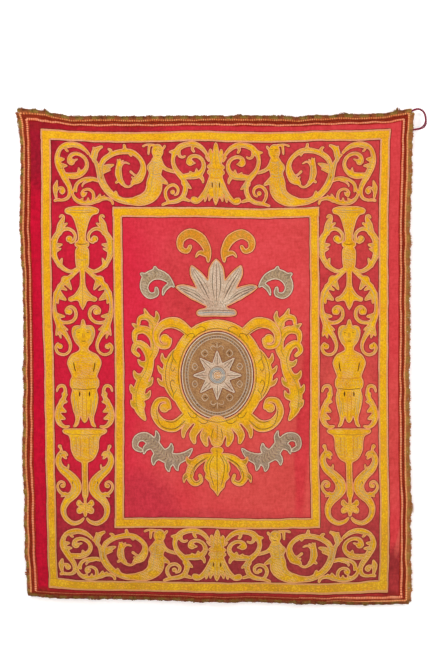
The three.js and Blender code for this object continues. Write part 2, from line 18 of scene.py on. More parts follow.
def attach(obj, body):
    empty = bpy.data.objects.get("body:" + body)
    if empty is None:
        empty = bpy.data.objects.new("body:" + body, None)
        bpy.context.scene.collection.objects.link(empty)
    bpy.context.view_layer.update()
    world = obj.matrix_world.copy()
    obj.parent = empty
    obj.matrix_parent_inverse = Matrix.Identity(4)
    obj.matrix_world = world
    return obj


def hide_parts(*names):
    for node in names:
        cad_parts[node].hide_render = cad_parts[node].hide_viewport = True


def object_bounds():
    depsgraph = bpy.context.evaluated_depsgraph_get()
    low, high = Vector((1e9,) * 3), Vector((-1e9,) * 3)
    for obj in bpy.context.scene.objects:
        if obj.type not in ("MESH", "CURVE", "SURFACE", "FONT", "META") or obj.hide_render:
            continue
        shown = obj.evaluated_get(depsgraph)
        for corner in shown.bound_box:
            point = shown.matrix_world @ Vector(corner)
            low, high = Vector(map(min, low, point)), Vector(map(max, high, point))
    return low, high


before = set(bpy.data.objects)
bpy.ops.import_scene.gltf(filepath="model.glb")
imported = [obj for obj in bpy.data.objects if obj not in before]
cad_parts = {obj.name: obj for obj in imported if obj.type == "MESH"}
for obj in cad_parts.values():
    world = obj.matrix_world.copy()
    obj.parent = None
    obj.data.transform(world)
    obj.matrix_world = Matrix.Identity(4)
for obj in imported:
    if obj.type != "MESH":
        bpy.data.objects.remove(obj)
cadBox = [list(corner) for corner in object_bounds()]
scene = bpy.context.scene
millimetre = 0.001
print("frame loaded:", len(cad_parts), "nodes")

cameraPlace = {"right": 0.0025, "away": 7.0, "height": -1.0404, "lens": 76.8}


def placeCamera(place):
    data = bpy.data.cameras.new("camera")
    data.lens = place["lens"]
    camera = bpy.data.objects.new("camera", data)
    camera.location = (place["right"], -place["away"], place["height"])
    camera.rotation_euler = (math.pi / 2, 0, 0)
    scene.collection.objects.link(camera)
    scene.camera = camera


placeCamera(cameraPlace)

groundCloth = {"halfWidth": 963, "height": 2432, "thick": 2.0, "across": 160, "along": 202}

# how the cloth hangs, in millimetres
hanging = {
    "sideLines": [-985, -873, -800, -520, 520, 873, 985],
    # down, then the sideways drift at each of the lines above
    "drift": [
        [0, -33, -10, -9, -2, 3, 14, 18],
        [65, -15, -10, -9, -1, 3, 12, 14],
        [140, -6, -9, -8, 0, 4, 9, 11],
        [240, -7, -8, -7, 0, 4, 7, 8],
        [540, -10, -8, -7, 1, 2, 1, 0],
        [920, 6, -4, -3, 5, 6, 1, -2],
        [1325, 6, 8, 8, 12, 7, -1, -4],
        [1730, 2, 12, 11, 11, 4, 2, 0],
        [1930, 10, 18, 17, 11, 10, 7, 4],
        [2175, 14, 23, 20, 11, 7, 6, 4],
        [2432, 27, 33, 27, 11, 2, -3, 6],
    ],
    "riseLines": [0, 90, 450, 750, 1850, 2070, 2380, 2432],
    # across, then the rise at the first three and the last three lines above; it is 0 between them
    "rise": [
        [-985, 34, 14, 0, 0, 30, 33],
        [-900, 32, 12, 0, 0, 31, 25],
        [-862, 25, 11, 0, 0, 31, 23],
        [-810, 12, 9, 0, 0, 25, 20],
        [-700, -5, 2, 0, 0, 15, 19],
        [-600, -3, -3, 0, 0, 12, 17],
        [-480, -3, -5, 0, 0, 10, 14],
        [-280, -4, -1, -1, 1, 7, 8],
        [-80, 0, 4, -1, 0, 4, 1],
        [120, 0, -4, -7, -6, 3, 0],
        [220, 0, -5, -9, -7, 2, -1],
        [400, -4, -2, -5, -4, -1, -6],
        [530, 2, 4, 0, -2, -4, -11],
        [700, 8, 4, 0, 0, 3, -13],
        [830, 12, 12, 0, 0, 14, -12],
        [985, 34, 20, 0, 0, 12, -11],
    ],
    # soft folds: from x, down, to x, down, width, and how far forward
    "folds": [
        [450, 1230, 376, 2040, 52, -12],
        [395, 1260, 316, 2050, 60, 9],
        [940, 1990, 864, 2330, 50, 10],
        [-924, 741, -853, 2033, 16, -7],
        [-952, 741, -884, 2033, 24, 6],
        [444, 1300, 392, 2000, 20, -7],
        [972, 1720, 912, 1960, 12, -5],
        [974, 1960, 902, 2250, 13, -6],
        [962, 2160, 880, 2440, 14, -6],
        [-926, 60, -884, 1430, 60, 8],
        [-640, 0, -600, 420, 85, 8],
        [-300, 0, -330, 460, 95, -6],
        [120, 0, 90, 420, 110, 6],
        [560, 0, 600, 520, 85, 8],
        [800, 0, 770, 380, 70, -6],
        [966, 0, 900, 200, 70, 12],
        [-700, 2432, -650, 1950, 80, 10],
        [-360, 2432, -330, 2050, 90, -8],
        [40, 2432, 60, 2100, 90, 9],
        [470, 2432, 430, 2000, 80, 8],
        [960, 800, 930, 1500, 70, 7],
        [-560, 700, -500, 1800, 120, 5],
    ],
    # fine creases, with the same columns
    "creases": [
        [330, 742, 460, 778, 9, -1.6],
        [-300, 1760, -80, 1900, 14, 1.4],
        [60, 2010, 330, 1930, 16, -1.6],
        [-470, 900, -420, 1500, 20, 1.8],
        [905, 120, 870, 420, 16, 2.4],
        [-905, 1500, -880, 2200, 18, 2.2],
        [-720, 40, -430, 70, 12, 1.6],
        [150, 30, 520, 66, 12, -1.6],
        [620, 2405, 900, 2380, 12, 1.8],
        [-880, 2405, -560, 2420, 12, 1.8],
    ],
    "ripple": 2.2,  # of the free edges, forward
    "wave": 1.3,  # of the free edges, along the wall
}


def ease(t):
    return t * t * (3 - 2 * t)


# evenly eased values between the places of a rising list; values may hold a row for each spot
def between(places, values, at):
    places, values = np.asarray(places, float), np.asarray(values, float)
    i = np.clip(np.searchsorted(places, at, side="left") - 1, 0, len(places) - 2)
    t = ease(np.clip((at - places[i]) / (places[i + 1] - places[i]), 0, 1))
    if values.ndim == 1:
        return values[i] * (1 - t) + values[i + 1] * t
    spots = np.arange(len(at))
    return values[i, spots] * (1 - t) + values[i + 1, spots] * t


def driftAt(x, down):
    table = np.array(hanging["drift"], float)
    lines = [between(table[:, 0], column, down) for column in table.T[1:]]
    return between(hanging["sideLines"], lines, x)


def riseAt(x, down):
    table = np.array(hanging["rise"], float)
    lines = [between(table[:, 0], column, x) for column in table.T[1:]]
    level = np.zeros_like(x)
    return between(hanging["riseLines"], [*lines[:3], level, level, *lines[3:]], down)


def pushed(x, down, fold):
    fromX, fromDown, toX, toDown, width, forward = fold
    alongX, alongDown = toX - fromX, toDown - fromDown
    long = math.hypot(alongX, alongDown)
    t = ((x - fromX) * alongX + (down - fromDown) * alongDown) / long**2
    off = ((x - fromX) * alongDown - (down - fromDown) * alongX) / long
    fade = ease(np.clip(1.25 - np.abs(t - 0.35), 0, 1))
    return forward * fade * np.exp(-((off / width) ** 2))


# how near a place is to the free edges: 1 on them, 0 well inside
def nearEdge(x, down, reach):
    fromSides = groundCloth["halfWidth"] - np.abs(x)
    inside = np.minimum(np.minimum(down, groundCloth["height"] - down), fromSides)
    return np.exp(-np.clip(inside, 0, None) / reach)


def forwardAt(x, down):
    forward = 3 * np.sin(x / 260 + down / 900) + 3 * np.sin(down / 330 - x / 700)
    for fold in hanging["folds"]:
        forward = forward + pushed(x, down, fold)
    forward = forward * ease(np.clip(down / 160, 0.15, 1))
    for crease in hanging["creases"]:
        forward = forward + pushed(x, down, crease)
    ripple = np.sin(x / 23 + 2 * np.sin(x / 71)) * np.sin(down / 29 + 1.3 * np.sin(down / 97) + 1)
    pucker = np.sin(x / 37 + down / 51) * np.sin(down / 43 - x / 83)
    return forward + hanging["ripple"] * nearEdge(x, down, 40) * ripple + 0.5 * pucker


# where a flat place, raised by height off the cloth, hangs in the room
def hang(x, down, height):
    slopeX = (forwardAt(x + 2, down) - forwardAt(x - 2, down)) / 4
    slopeDown = (forwardAt(x, down + 2) - forwardAt(x, down - 2)) / 4
    lift = height / np.sqrt(1 + slopeX**2 + slopeDown**2)
    wave = hanging["wave"] * nearEdge(x, down, 55)
    sideways = wave * np.sin(down / 41 + 2 * np.sin(down / 113)) + 0.35 * np.sin(down / 19 + x / 31)
    upwards = wave * np.sin(x / 37 + 2 * np.sin(x / 89) + 2) + 0.35 * np.sin(x / 17 - down / 29)
    acrossWall = x + driftAt(x, down) + sideways - lift * slopeX
    upWall = riseAt(x, down) - down + upwards + lift * slopeDown
    return np.stack([acrossWall, -forwardAt(x, down) - lift, upWall], axis=1) * millimetre


def hungPoint(x, down):
    return hang(np.array([float(x)]), np.array([float(down)]), np.zeros(1))[0]


def coordinatesOf(mesh):
    places = np.empty(len(mesh.vertices) * 3)
    mesh.vertices.foreach_get("co", places)
    return places.reshape(-1, 3)


# hangs a flat mesh, and keeps its flat place for the materials, with its third value from rim
def drape(mesh, rim):
    flat = coordinatesOf(mesh)
    kept = np.stack([flat[:, 0] * millimetre, -flat[:, 1] * millimetre, rim], axis=1)
    mesh.attributes.new("flat", "FLOAT_VECTOR", "POINT").data.foreach_set("vector", kept.ravel())
    mesh.vertices.foreach_set("co", hang(flat[:, 0], -flat[:, 1], flat[:, 2]).ravel())
    mesh.update()


# an evenly eased line through points, and how far along the points each place is
def smoothLine(points, step):
    points = np.array(points, float)
    ends = np.vstack([points[:1], points, points[-1:]])
    places, at = [], []
    for i in range(len(points) - 1):
        a, b, c, d = ends[i : i + 4]
        count = max(1, math.ceil(np.linalg.norm(c - b) / step))
        t = (np.arange(count) / count)[:, None]
        curve = (2 * b) + (c - a) * t + (2 * a - 5 * b + 4 * c - d) * t**2
        places.append((curve + (3 * b - a - 3 * c + d) * t**3) / 2)
        at.append(i + t[:, 0])
    return np.vstack([*places, points[-1:]]), np.append(np.concatenate(at), len(points) - 1)


def lengthsAlong(line, closed=False):
    ends = np.vstack([line, line[:1]]) if closed else line
    return np.append(0, np.cumsum(np.linalg.norm(np.diff(ends, axis=0), axis=1)))


# the same line in even steps
def evenLine(line, step, closed=False):
    line = np.asarray(line, float)
    ends = np.vstack([line, line[:1]]) if closed else line
    along = lengthsAlong(line, closed)
    count = max(3, round(along[-1] / step))
    at = np.linspace(0, along[-1], count + 1)[: count if closed else None]
    return np.column_stack([np.interp(at, along, ends[:, k]) for k in range(line.shape[1])])


# lines are (points, closed), each point as x, down, height and thickness;
# comes with each vertex's place along its line, in metres, and its line's own random number
def cordMesh(name, lines, radius, seed, rings=1):
    curve = bpy.data.curves.new(name, "CURVE")
    curve.dimensions = "3D"
    curve.bevel_depth = radius
    curve.bevel_resolution = rings
    draws = random.Random(seed)
    sides, along = 4 + 2 * rings, []
    for points, closed in lines:
        spline = curve.splines.new("POLY")
        spline.points.add(len(points) - 1)
        co = np.column_stack([points[:, 0], -points[:, 1], points[:, 2], np.ones(len(points))])
        spline.points.foreach_set("co", co.ravel())
        spline.points.foreach_set("radius", points[:, 3])
        spline.use_cyclic_u = closed
        places = lengthsAlong(points[:, :3])[:, None] * millimetre
        own = np.full_like(places, draws.random())
        along.append(np.repeat(np.hstack([places, own, own * 0]), sides, axis=0))
    mesh = bpy.data.meshes.new_from_object(bpy.data.objects.new(name, curve))
    along = np.vstack(along)
    if len(mesh.vertices) != len(along):
        raise ValueError(f"{name}: {len(mesh.vertices)} vertices, and {len(along)} were expected")
    bm = bmesh.new()
    bm.from_mesh(mesh)
    bmesh.ops.holes_fill(bm, edges=[edge for edge in bm.edges if edge.is_boundary], sides=sides)
    bmesh.ops.recalc_face_normals(bm, faces=bm.faces)
    bm.to_mesh(mesh)
    bm.free()
    return mesh, along


# thickness 1 along a line, and less near its ends where they taper
def cordPoints(flat, height, thickness=1.0, taper=0):
    full = np.ones(len(flat)) * thickness
    if taper:
        along = lengthsAlong(flat)
        near = np.minimum(along, along[-1] - along) / taper
        full *= np.clip(0.25 + near, 0.25, 1)
    heights = np.broadcast_to(np.asarray(height, float), len(flat))
    return np.column_stack([flat, heights, full])


# joins flat meshes, one for each of the materials, hangs the result, and makes the piece
def finishPiece(name, parts, finishes, nodes, slot):
    bm = bmesh.new()
    extras = []
    for index, (mesh, extra) in enumerate(parts):
        count = len(mesh.polygons)
        mesh.polygons.foreach_set("material_index", np.full(count, index, np.int32))
        mesh.polygons.foreach_set("use_smooth", np.ones(count, bool))
        bm.from_mesh(mesh)
        extras.append(extra)
    joined = bpy.data.meshes.new(name)
    bm.to_mesh(joined)
    bm.free()
    extras = np.vstack(extras)
    drape(joined, extras[:, 2])
    joined.attributes.new("cord", "FLOAT_VECTOR", "POINT").data.foreach_set("vector", extras.ravel())
    joined.set_sharp_from_angle(angle=math.radians(50))
    for finish in finishes:
        joined.materials.append(finish)
    piece = bpy.data.objects.new(name, joined)
    scene.collection.objects.link(piece)
    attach(piece, "root")
    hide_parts(*nodes)
    return piece


def flatGrid(left, right, top, bottom, across, along):
    bm = bmesh.new()
    bmesh.ops.create_grid(bm, x_segments=across, y_segments=along, size=0.5)
    bmesh.ops.scale(bm, vec=(right - left, bottom - top, 1), verts=bm.verts)
    middle = ((left + right) / 2, -(top + bottom) / 2, 0)
    bmesh.ops.translate(bm, vec=middle, verts=bm.verts)
    return bm


# gives a flat sheet its thickness: its back is at low and its front at high, plus raised(x, down)
def thickened(bm, low, high, raised=None):
    bottom = [face for face in bm.faces]
    grown = bmesh.ops.extrude_face_region(bm, geom=bottom, use_keep_orig=True)["geom"]
    front = [part for part in grown if isinstance(part, bmesh.types.BMVert)]
    for face in bottom:
        face.normal_flip()
        for vert in face.verts:
            vert.co.z = low
    for vert in front:
        vert.co.z = high + (raised(vert.co.x, -vert.co.y) if raised else 0)
    mesh = bpy.data.meshes.new("sheet")
    bm.to_mesh(mesh)
    bm.free()
    return mesh


def plainExtra(mesh, rim):
    return np.tile([0.0, 0.5, rim], (len(mesh.vertices), 1))


# the cut cloths that are laid on the ground
cutCloth = {
    "step": 9,  # along a scroll
    "allowance": 3.0,  # the cloth's edge is this far inside the row's width, under its cord
    "least": 1.8,  # half width of the narrowest cloth
    "lift": 0.3,  # clearance off the cloth below
    "thick": 1.3,
    "pillow": 1.7,  # how far the middle stands over the edges
    "soften": 7.0,  # over this distance from the edge
    "dots": 9.0,  # between the loose places inside a wide shape
    "cordRadius": 2.9,
    "cordHeight": 1.9,
    "cordStep": 5.6,
    "shadeOut": 3.9,  # the dark thread of painted shadow outside the cord
    "shadeRadius": 1.5,
    "threadRadius": 1.15,
    # embroidered lines stop this far from the edge
    "clearOfEdge": {"line": 2.0, "vein": 2.5, "barb": 4.5, "hatch": 4.0},
    "uneven": 0.13,  # of the edging cord's thickness
}


def surfaceHeight(rim):
    return cutCloth["thick"] + cutCloth["pillow"] * (1 - np.exp(-rim / cutCloth["soften"]))


# a flat shape: places, the triangles that cover it, the rims round them, and its embroidered lines
class Cut:
    def __init__(self, veins, allowance):
        self.places, self.cells, self.rims, self.drawn = [], [], [], []
        self.veins, self.allowance = veins, allowance

    def add(self, places, cells):
        start = sum(len(some) for some in self.places)
        self.places.append(np.asarray(places, float))
        sides = Counter()
        for cell in cells:
            ring = [start + corner for corner in cell]
            self.cells.extend([ring[0], b, c] for b, c in zip(ring[1:], ring[2:]))
            sides.update((min(a, b), max(a, b)) for a, b in zip(ring, ring[1:] + ring[:1]))
        self.rims.extend(side for side, count in sides.items() if count == 1)

    def draw(self, finish, line, size, kind):
        self.drawn.append((finish, line, size, cutCloth["clearOfEdge"][kind]))


# maps a row's places onto the flat pattern
class Place:
    def __init__(self, x, down, scaleX=1.0, scaleDown=1.0):
        self.shift = np.array([x, down], float)
        self.scale = np.array([scaleX, scaleDown], float)

    def of(self, places):
        return np.asarray(places, float) * self.scale + self.shift

    def mirrored(self):
        return Place(*self.shift, -self.scale[0], self.scale[1])


def ribsOf(path, width, allowance):
    line, at = smoothLine(path, cutCloth["step"])
    half = np.interp(at, range(len(width)), width) / 2 - allowance
    half = np.maximum(half, cutCloth["least"])
    along = np.gradient(line, axis=0)
    along /= np.linalg.norm(along, axis=1)[:, None]
    return line, half, along


def roundEnd(line, half, along, end, way):
    if half[end] < 3:
        return np.empty((0, 2)), np.empty(0), np.empty((0, 2))
    turns = np.radians([30, 55, 75, 88])
    centres = line[end] + way * along[end] * half[end] * np.sin(turns)[:, None]
    return centres, half[end] * np.cos(turns), np.tile(along[end], (len(turns), 1))


# a scroll or a leaf, as ribs across a smooth line, and its embroidered lines
def addStroke(cut, row, place):
    line, half, along = ribsOf(row["path"], row["width"], cut.allowance)
    first = [part[::-1] for part in roundEnd(line, half, along, 0, -1)]
    last = roundEnd(line, half, along, -1, 1)
    lines, halves, alongs = (np.concatenate(parts) for parts in zip(first, (line, half, along), last))
    lanes = np.array([-1, -0.5, 0, 0.5, 1] if half.max() > 8 else [-1, 0, 1])
    side = np.stack([-alongs[:, 1], alongs[:, 0]], axis=1) * halves[:, None]
    places = lines[:, None] + side[:, None] * lanes[None, :, None]
    across = len(lanes)
    corners = [
        [i * across + k, i * across + k + 1, (i + 1) * across + k + 1, (i + 1) * across + k]
        for i in range(len(lines) - 1)
        for k in range(across - 1)
    ]
    cut.add(place.of(places.reshape(-1, 2)), corners)
    addVeins(cut, row, place, line, half, along)


# the embroidered lines along a stroke: a leaf's veins, a scroll's shading, or a plume's barbs
def addVeins(cut, row, place, line, half, along):
    middle = np.stack([-along[:, 1], along[:, 0]], axis=1) * half[:, None]
    count = len(line)
    if "barbs" in row:
        for k in range(1, count - 1):
            for side in (-1, 1):
                root, tip = line[k] + middle[k] * 0.08 * side, line[k] + middle[k] * 0.72 * side
                barb = np.array([root, (root + tip) / 2 + along[k] * 3, tip + along[k] * 9])
                finish = row["barbs"][k % len(row["barbs"])]
                cut.draw(finish, place.of(barb), 0.9, "barb")
    elif half.max() > 7:
        leaf = len(row["path"]) < 5
        offsets = (0, 0.45, -0.45) if leaf and half.max() > 15 else (0,) if leaf else (0.42,)
        for offset in offsets:
            start = count // (4 if leaf else 14)
            thread = (line + middle * offset)[start : max(count - (2 if leaf else 3), 3)]
            if len(thread) > 2:
                cut.draw(row.get("veins", cut.veins), place.of(thread), 0.9, "vein")


# the triangles of an outline: those whose middle it goes round
def filled(outline):
    count = len(outline)
    points = [Vector(spot) for spot in outline.tolist()]
    made = delaunay_2d_cdt(points, [(i, (i + 1) % count) for i in range(count)], [], 0, 0.01, False)
    spots, faces = np.array(made[0]), made[2]
    kept = []
    for face in faces:
        out = outline - spots[face].mean(0)
        turns = np.angle(np.exp(1j * np.diff(np.arctan2(out[:, 1], out[:, 0]), append=0)))
        first, last = (math.atan2(out[k, 1], out[k, 0]) for k in (0, -1))
        turns[-1] = math.remainder(first - last, 2 * math.pi)
        if abs(turns.sum()) > 3:
            kept.append(face)
    return spots, kept


def addOutline(cut, outline, place):
    spots, faces = filled(np.asarray(outline, float))
    places = place.of(spots)
    cut.add(places, faces)
    low, high = places.min(0), places.max(0)
    dots = cutCloth["dots"]
    across, along = (np.arange(low[k] + dots / 2, high[k], dots) for k in (0, 1))
    grid = np.array([[x + dots / 2 * (j % 2), y] for j, y in enumerate(along) for x in across])
    if len(grid):
        away = np.linalg.norm(grid[:, None] - places[None], axis=2).min(1)
        cut.add(grid[away > dots * 0.55], [])


def ellipseOf(centre, radius, tall):
    count = max(14, round(2 * math.pi * radius / 6))
    turns = np.arange(count) * 2 * math.pi / count
    return np.stack([centre[0] + radius * np.cos(turns), centre[1] + tall * np.sin(turns)], axis=1)


def halfOutline(half, allowance):
    right, _ = smoothLine(half, 7)
    right[1:-1, 0] = np.maximum(right[1:-1, 0] - allowance, 1)
    right = right[np.append(True, np.linalg.norm(np.diff(right, axis=0), axis=1) > 0.6)]
    return np.vstack([right, right[-2:0:-1] * [-1, 1]])


def starOutline(row):
    points, centre = row["points"], np.array(row["star"], float)
    turns = np.arange(points * 2) * math.pi / points
    reach = np.where(np.arange(points * 2) % 2, row["inner"], row["radius"])
    corners = centre + np.stack([np.sin(turns), np.cos(turns)], axis=1) * reach[:, None]
    return evenLine(corners, 7, closed=True)


def addRing(cut, row, place):
    half = row["width"] / 2 - cut.allowance
    lanes = np.linspace(-half, half, 7)
    turns = np.linspace(0, 2 * math.pi, 161)[:-1]
    circle = [
        [[(row["radius"] + out) * math.cos(a), (row["tall"] + out) * math.sin(a)] for out in lanes]
        for a in turns
    ]
    count = len(lanes)
    corners = [
        [i * count + k, i * count + k + 1, j * count + k + 1, j * count + k]
        for i, j in zip(range(160), [*range(1, 160), 0])
        for k in range(count - 1)
    ]
    cut.add(place.of(np.reshape(circle, (-1, 2)) + row["ring"]), corners)


# short slanting stitches across an ellipse
def whipStitches(row):
    reach = np.array([row["radius"], row["tall"]])
    count = round(math.pi * reach.sum() / row["pitch"])
    lean = row["lean"] / reach.mean()
    stitches = []
    for turn in np.arange(count) * 2 * math.pi / count:
        inner = np.array([math.cos(turn), math.sin(turn)]) * (reach - row["long"] / 2)
        outer = np.array([math.cos(turn + lean), math.sin(turn + lean)]) * (reach + row["long"] / 2)
        stitches.append(np.array([inner, (inner + outer) / 2, outer]) + row["whip"])
    return stitches


# short stitches along a line, with gaps between them
def stitched(line, draws):
    along = lengthsAlong(line)
    at, runs = draws.uniform(0, 7), []
    while at < along[-1] - 5:
        end = min(at + draws.uniform(7, 16), along[-1])
        places = np.linspace(at, end, 4)
        run = np.column_stack([np.interp(places, along, line[:, k]) for k in (0, 1)])
        runs.append(run + [draws.uniform(-0.9, 0.9), draws.uniform(-0.9, 0.9)])
        at = end + draws.uniform(2, 7)
    return runs


# parallel rows of stitches over a box, at an angle in degrees
def hatchLines(row):
    left, top, right, bottom = row["hatch"]
    turn = math.radians(row["turn"])
    way, aside = np.array([math.cos(turn), math.sin(turn)]), np.array([-math.sin(turn), math.cos(turn)])
    middle = np.array([(left + right) / 2, (top + bottom) / 2])
    reach = math.hypot(right - left, bottom - top) / 2
    steps = np.arange(-reach, reach, 4.0)[:, None]
    draws, lines = random.Random(round(left + 3 * top)), []
    for out in np.arange(-reach, reach, row["pitch"]):
        line = middle + aside * out + way * steps
        inBox = (line >= [left, top]).all(1) & (line <= [right, bottom]).all(1)
        if inBox.sum() > 2:
            lines.extend(stitched(line[inBox], draws))
    return lines


def addRow(cut, row, place):
    trim = cut.allowance
    for where in [place, place.mirrored()] if row.get("twin") else [place]:
        if "path" in row:
            addStroke(cut, row, where)
        elif "disc" in row:
            addOutline(cut, ellipseOf(row["disc"], row["radius"] - trim, row["tall"] - trim), where)
        elif "half" in row:
            addOutline(cut, halfOutline(row["half"], trim), where)
        elif "star" in row:
            addOutline(cut, starOutline(row), where)
        elif "ring" in row:
            addRing(cut, row, where)
        elif "line" in row:
            line, _ = smoothLine(row["line"], 4)
            cut.draw(row["in"], where.of(line), row["size"], "line")
        elif "loop" in row:
            line = ellipseOf(row["loop"], row["radius"], row["tall"])
            line = np.vstack([line, line[:1]])
            cut.draw(row["in"], where.of(line), row["size"], "line")
        elif "whip" in row:
            for line in whipStitches(row):
                cut.draw(row["in"], where.of(line), row["size"], "line")
        else:
            for line in hatchLines(row):
                cut.draw(row["in"], where.of(line), row["size"], "hatch")


laid = []  # the triangles and the rims of each cloth that is already laid on the ground
seams = []  # their outlines, in close steps


# which of the spots lie in any of the triangles
def covered(spots, triangles):
    order = np.argsort(spots[:, 0])
    across = spots[order, 0]
    lows = np.searchsorted(across, triangles[:, :, 0].min(1))
    highs = np.searchsorted(across, triangles[:, :, 0].max(1))
    edges = np.roll(triangles, -1, axis=1) - triangles
    found = np.zeros(len(spots), bool)
    for corners, edge, low, high in zip(triangles, edges, lows, highs):
        some = order[low:high]
        out = spots[some][:, None] - corners
        side = edge[:, 0] * out[..., 1] - edge[:, 1] * out[..., 0]
        found[some] |= (side >= 0).all(1) | (side <= 0).all(1)
    return found


# those of the shapes whose box meets the box from low to high
def nearBox(shapes, low, high):
    shapes = np.concatenate(shapes)
    return shapes[(shapes.max(1) > low).all(1) & (shapes.min(1) < high).all(1)]


# the places and triangles that are inside the cut, and clear of what is laid
def triangled(cut, clear):
    places = np.vstack(cut.places)
    box = places.min(0), places.max(0)
    solid, edges, gone = places[cut.cells], list(cut.rims), []
    if clear and laid:
        gone = nearBox([triangles for triangles, _ in laid], *box)
        rims = nearBox([rims for _, rims in laid], *box)
        edges += (np.arange(2 * len(rims)).reshape(-1, 2) + len(places)).tolist()
        places = np.vstack([places, rims.reshape(-1, 2)])
    points = [Vector((x, -y)) for x, y in places.tolist()]
    made = delaunay_2d_cdt(points, edges, [], 0, 0.05, False)
    spots, faces = np.array(made[0]) * [1, -1], np.array(made[2])
    middles = spots[faces].mean(1)
    kept = covered(middles, solid)
    if len(gone):
        kept &= ~covered(middles, gone)
    return spots, faces[kept].tolist()


# the closed lines round a flat mesh, with the cloth on their right as they go down it
def boundaryLines(bm):
    steps = Counter()
    for face in bm.faces:
        for loop in face.loops:
            steps[loop.vert, loop.link_loop_next.vert] += 1
    following = {}
    for (vert, after), count in steps.items():
        left = count - steps.get((after, vert), 0)
        for _ in range(left):
            following.setdefault(vert, []).append(after)
    lines = []
    while following:
        start = at = next(iter(following))
        line = []
        while at in following:
            line.append((at.co.x, -at.co.y))
            onward = following[at]
            after = onward.pop()
            if not onward:
                del following[at]
            at = after
            if at == start:
                break
        if at == start and len(line) > 4:
            lines.append(np.array(line))
    return lines


# splits a closed line where it runs along something already laid
def openRuns(line, near):
    free = np.array([near is None or near.find((x, y, 0))[2] > 1.6 for x, y in line])
    if free.all():
        return [(line, True)]
    if not free.any():
        return []
    turned = np.argmin(free)
    line, free = np.roll(line, -turned, axis=0), np.roll(free, -turned)
    runs, run = [], []
    for spot, isFree in zip(line, free):
        if isFree:
            run.append(spot)
        elif run:
            runs.append(run)
            run = []
    if run:
        runs.append(run)
    return [(np.array(run), False) for run in runs if len(run) > 2]


def treeOf(spots):
    tree = KDTree(len(spots))
    for i, (x, y) in enumerate(spots):
        tree.insert((x, y, 0), i)
    tree.balance()
    return tree


# a cloth of that cut: its mesh and what goes with it, its lines of edging cord, and its edge's tree
def shapedCloth(cut, lift, clear):
    spots, faces = triangled(cut, clear)
    bm = bmesh.new()
    used = sorted({i for face in faces for i in face})
    verts = {i: bm.verts.new((spots[i][0], -spots[i][1], 0)) for i in used}
    for face in faces:
        bm.faces.new([verts[i] for i in face])
    bmesh.ops.remove_doubles(bm, verts=bm.verts, dist=0.4)
    bmesh.ops.dissolve_degenerate(bm, edges=bm.edges, dist=0.1)
    bmesh.ops.triangulate(bm, faces=[face for face in bm.faces if len(face.verts) > 4])
    for face in bm.faces:
        if face.normal.z < 0:
            face.normal_flip()
    outlines = [line for line in boundaryLines(bm) if lengthsAlong(line, True)[-1] > 14]
    near = treeOf(np.vstack(seams)) if clear and seams else None
    edges = []
    for line in outlines:
        even = evenLine(line, cutCloth["cordStep"], closed=True)
        even = (np.roll(even, 1, axis=0) + 3 * even + np.roll(even, -1, axis=0)) / 5
        edges.extend(openRuns(even, near))
    closeSteps = np.vstack([evenLine(line, 1.5, closed=True) for line in outlines])
    rimTree = treeOf(closeSteps)
    foot = lift + cutCloth["lift"]
    mesh = thickened(bm, foot, foot, lambda x, down: surfaceHeight(rimTree.find((x, down, 0))[2]))
    if clear:
        seams.append(closeSteps)
        places = np.vstack(cut.places)
        laid.append((places[cut.cells], places[cut.rims]))
    flat = coordinatesOf(mesh)
    rims = np.array([rimTree.find((x, -y, 0))[2] for x, y, _ in flat]) * millimetre
    extra = np.column_stack([rims * 0, rims * 0, rims])
    return mesh, extra, edges, rimTree


# a line moved out from the cloth that it goes round
def movedOut(line, closed, out):
    ahead = np.roll(line, -1, axis=0) if closed else np.vstack([line[1:], line[-1:]])
    behind = np.roll(line, 1, axis=0) if closed else np.vstack([line[:1], line[:-1]])
    way = ahead - behind
    way /= np.maximum(np.linalg.norm(way, axis=1), 0.01)[:, None]
    return line + np.stack([-way[:, 1], way[:, 0]], axis=1) * out


# the parts of the embroidered lines that lie on the cloth, clear of its edge
def onlyOnCloth(drawn, solid, rimTree):
    if not drawn:
        return
    lines = [line for _, line, _, _ in drawn]
    inside = np.split(covered(np.vstack(lines), solid), np.cumsum([len(line) for line in lines])[:-1])
    for (finish, line, size, clearance), good in zip(drawn, inside):
        rims = np.array([rimTree.find((x, y, 0))[2] for x, y in line])
        good = good & (rims > clearance)
        for run in np.split(np.arange(len(line)), np.nonzero(np.diff(good))[0] + 1):
            if good[run[0]] and len(run) > 2:
                yield finish, line[run], size
